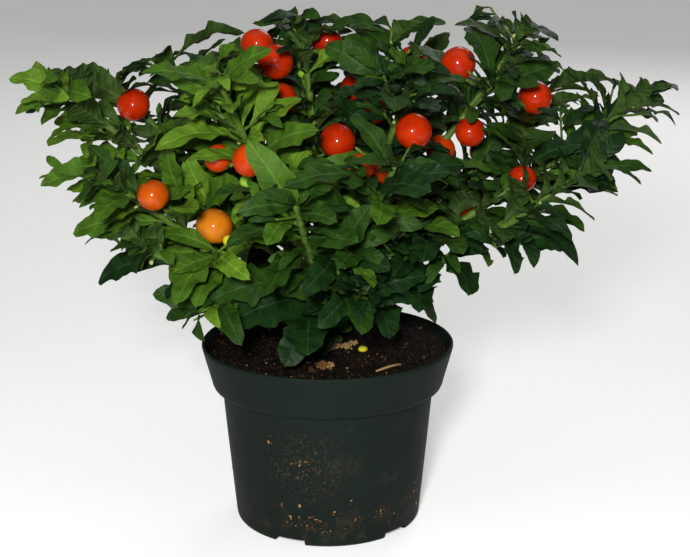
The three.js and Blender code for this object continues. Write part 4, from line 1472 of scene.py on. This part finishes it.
def berry_paint(name, deep, bright):
    paint, place = start_paint(name, Specular_IOR_Level=0.04, Coat_Roughness=0.05)
    flush = place.clouds(110, 2).step(0.3, 0.7)
    colour = flush.blend(deep, bright)
    pores = place.clouds(1900, 1)
    return finish_paint(
        paint,
        Base_Color=colour,
        Roughness=flush * 0.06 + 0.30,
        Coat_Weight=flush * 0.05 + 0.32,
        Normal=pores.relief(0.02),
    )


FALLEN_AT = (16.8, -6.3)
# How red a berry is from which each next paint begins.
RIPENING = (0.22, 0.5, 0.67, 0.78, 0.91, 0.985)
berry_paints = [
    berry_paint("berry_green", (0.10, 0.24, 0.012), (0.20, 0.36, 0.030)),
    berry_paint("berry_yellow", (0.42, 0.42, 0.012), (0.60, 0.50, 0.03)),
    berry_paint("berry_orange", (0.36, 0.080, 0.003), (0.47, 0.145, 0.006)),
    berry_paint("berry_deep_orange", (0.30, 0.032, 0.001), (0.42, 0.072, 0.002)),
    berry_paint("berry_orange_red", (0.36, 0.024, 0.0008), (0.45, 0.042, 0.0012)),
    berry_paint("berry_red", (0.30, 0.011, 0.0006), (0.41, 0.022, 0.001)),
    # The deepest red: painted shade on the berries at 1.0, which sit in shade, and a darker red on the
    # reddest of the rest.
    berry_paint("berry_deep_red", (0.24, 0.007, 0.001), (0.34, 0.014, 0.0015)),
]
berry_ball, berry_calyx = berry_pattern(), calyx_pattern()
berries, calyxes = Joined(), Joined()
young = []
shoot_lines = [m.stem for m in masses] + [line for m in masses for line, _ in m.twigs]
shoot_points = [line.point(k / 40) for line in shoot_lines for k in range(41)]
for x, y, z, radius, red in YOUNG_BERRIES:
    centre = Vector((x, y, z))
    start = min(shoot_points, key=lambda p: (p - centre).length)
    centre = start + (centre - start).normalized() * min(11.0, (centre - start).length)
    young.append((start, centre, radius, red))
for start, centre, radius, red in [b for m in masses for b in m.berries] + young:
    upright = UP.rotation_difference(stalk_end(start, centre)).to_matrix()
    turn = np.array(upright @ Quaternion(UP, rng.uniform(0, 6)).to_matrix())
    size = radius * np.array([rng.uniform(0.97, 1.03), rng.uniform(0.97, 1.03), rng.uniform(0.94, 1.0)])
    shade = red + rng.normal() * 0.02
    paint = int(np.searchsorted(RIPENING, shade))
    berries.lay(berry_ball, (berry_ball.points * size) @ turn.T + np.array(centre), [paint])
    calyxes.lay(berry_calyx, (berry_calyx.points * radius) @ turn.T + np.array(centre), [0])

# A tiny yellow one lies on the soil.
fallen = berry_ball.points * (2.3, 2.3, 1.6) + (*FALLEN_AT, peat_height(*FALLEN_AT) + 1.4)
berries.lay(berry_ball, fallen, [1])
berries = berries.piece("berries", berry_paints)
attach(berries, "root")

# The young berries' stalks, and flower buds at some of the joints, go with the calyxes.
for start, centre, radius, _ in young:
    line = straight(start, centre + stalk_end(start, centre) * (0.7 * radius))
    lay_tube(calyxes, stalk_tube, line, lambda u, turn: 0.55 + 0.35 * u**3)
bud_ball = lump_pattern(2)
for mass in masses:
    for at, turn, _ in mass.joints:
        if rng.uniform() < 0.3:
            run = at.aside(turn + rng.uniform(20, 60), rng.uniform(30, 70))
            end = at.point + run * rng.uniform(3.0, 5.5)
            lay_tube(calyxes, stalk_tube, straight(at.point, end), lambda u, turn: 0.32 + 0.2 * u)
            calyxes.lay(bud_ball, bud_ball.points * rng.uniform(0.6, 1.1) + np.array(end), [1])
bud_paint = crumb_paint("cream_bud", (0.20, 0.26, 0.06), (0.38, 0.40, 0.16))
calyxes = calyxes.piece("calyxes", [stem_paint(), bud_paint])
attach(calyxes, "root")

# The studio: a plain pale floor, a wide soft light from above, and a softer one by the camera, which stands
# where the photograph was taken from.

PHOTO_WIDTH = 690
FOCAL_PIXELS = 1500
SENSOR_WIDTH = 36.0
LOOKS_DOWN = 15.04  # degrees
floor_mesh = bmesh.new()
bmesh.ops.create_grid(floor_mesh, x_segments=1, y_segments=1, size=8)
floor_paint, floor_place = start_paint("pale_floor", Specular_IOR_Level=0.0, Emission_Strength=0.42)
floor_colour = floor_place.clouds(3, 2).blend((0.80, 0.80, 0.79), (0.84, 0.84, 0.83))
finish_paint(
    floor_paint,
    Base_Color=floor_colour,
    Emission_Color=floor_colour,
    Roughness=floor_place.clouds(5, 2) * 0.1 + 0.8,
)
floor = piece_of(floor_mesh, "floor", [floor_paint])
floor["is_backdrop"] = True
world = bpy.data.worlds.new("studio")
bpy.context.scene.world = world
world.use_nodes = True
background = world.node_tree.nodes["Background"]
background.inputs["Color"].default_value = (1, 1, 1, 1)
background.inputs["Strength"].default_value = 0.09
aim = Vector((0, 0, 0.13))
for name, at, size, power in (
    ("key", (-0.05, -0.80, 0.42), 0.10, 9.5),
    ("top", (0.1, -0.1, 1.7), 1.8, 4.5),
    ("back", (0.5, 1.3, 1.1), 0.9, 7.0),
):
    light = bpy.data.lights.new(name, "AREA")
    light.shape = "DISK"
    light.size = size
    light.energy = power
    lamp = bpy.data.objects.new(name, light)
    lamp.location = at
    lamp.rotation_euler = (Vector(at) - aim).to_track_quat("Z", "Y").to_euler()
    bpy.context.scene.collection.objects.link(lamp)
camera = bpy.data.objects.new("camera", bpy.data.cameras.new("camera"))
camera.data.sensor_width = SENSOR_WIDTH
camera.data.lens = FOCAL_PIXELS / PHOTO_WIDTH * SENSOR_WIDTH
camera.data.clip_start = 0.01
camera.location = FRONT_VIEW * MM + Vector((0.0003, 0, 0))
camera.rotation_euler = (math.radians(90 - LOOKS_DOWN), 0, 0)
bpy.context.scene.collection.objects.link(camera)
bpy.context.scene.camera = camera
bpy.context.scene.view_settings.view_transform = "Standard"

# The sizes of the CAD part and of the dressed one, to compare.

sizes = {"cad": cad_box, "visual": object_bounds()}
{name: [list(corner) for corner in box] for name, box in sizes.items()}
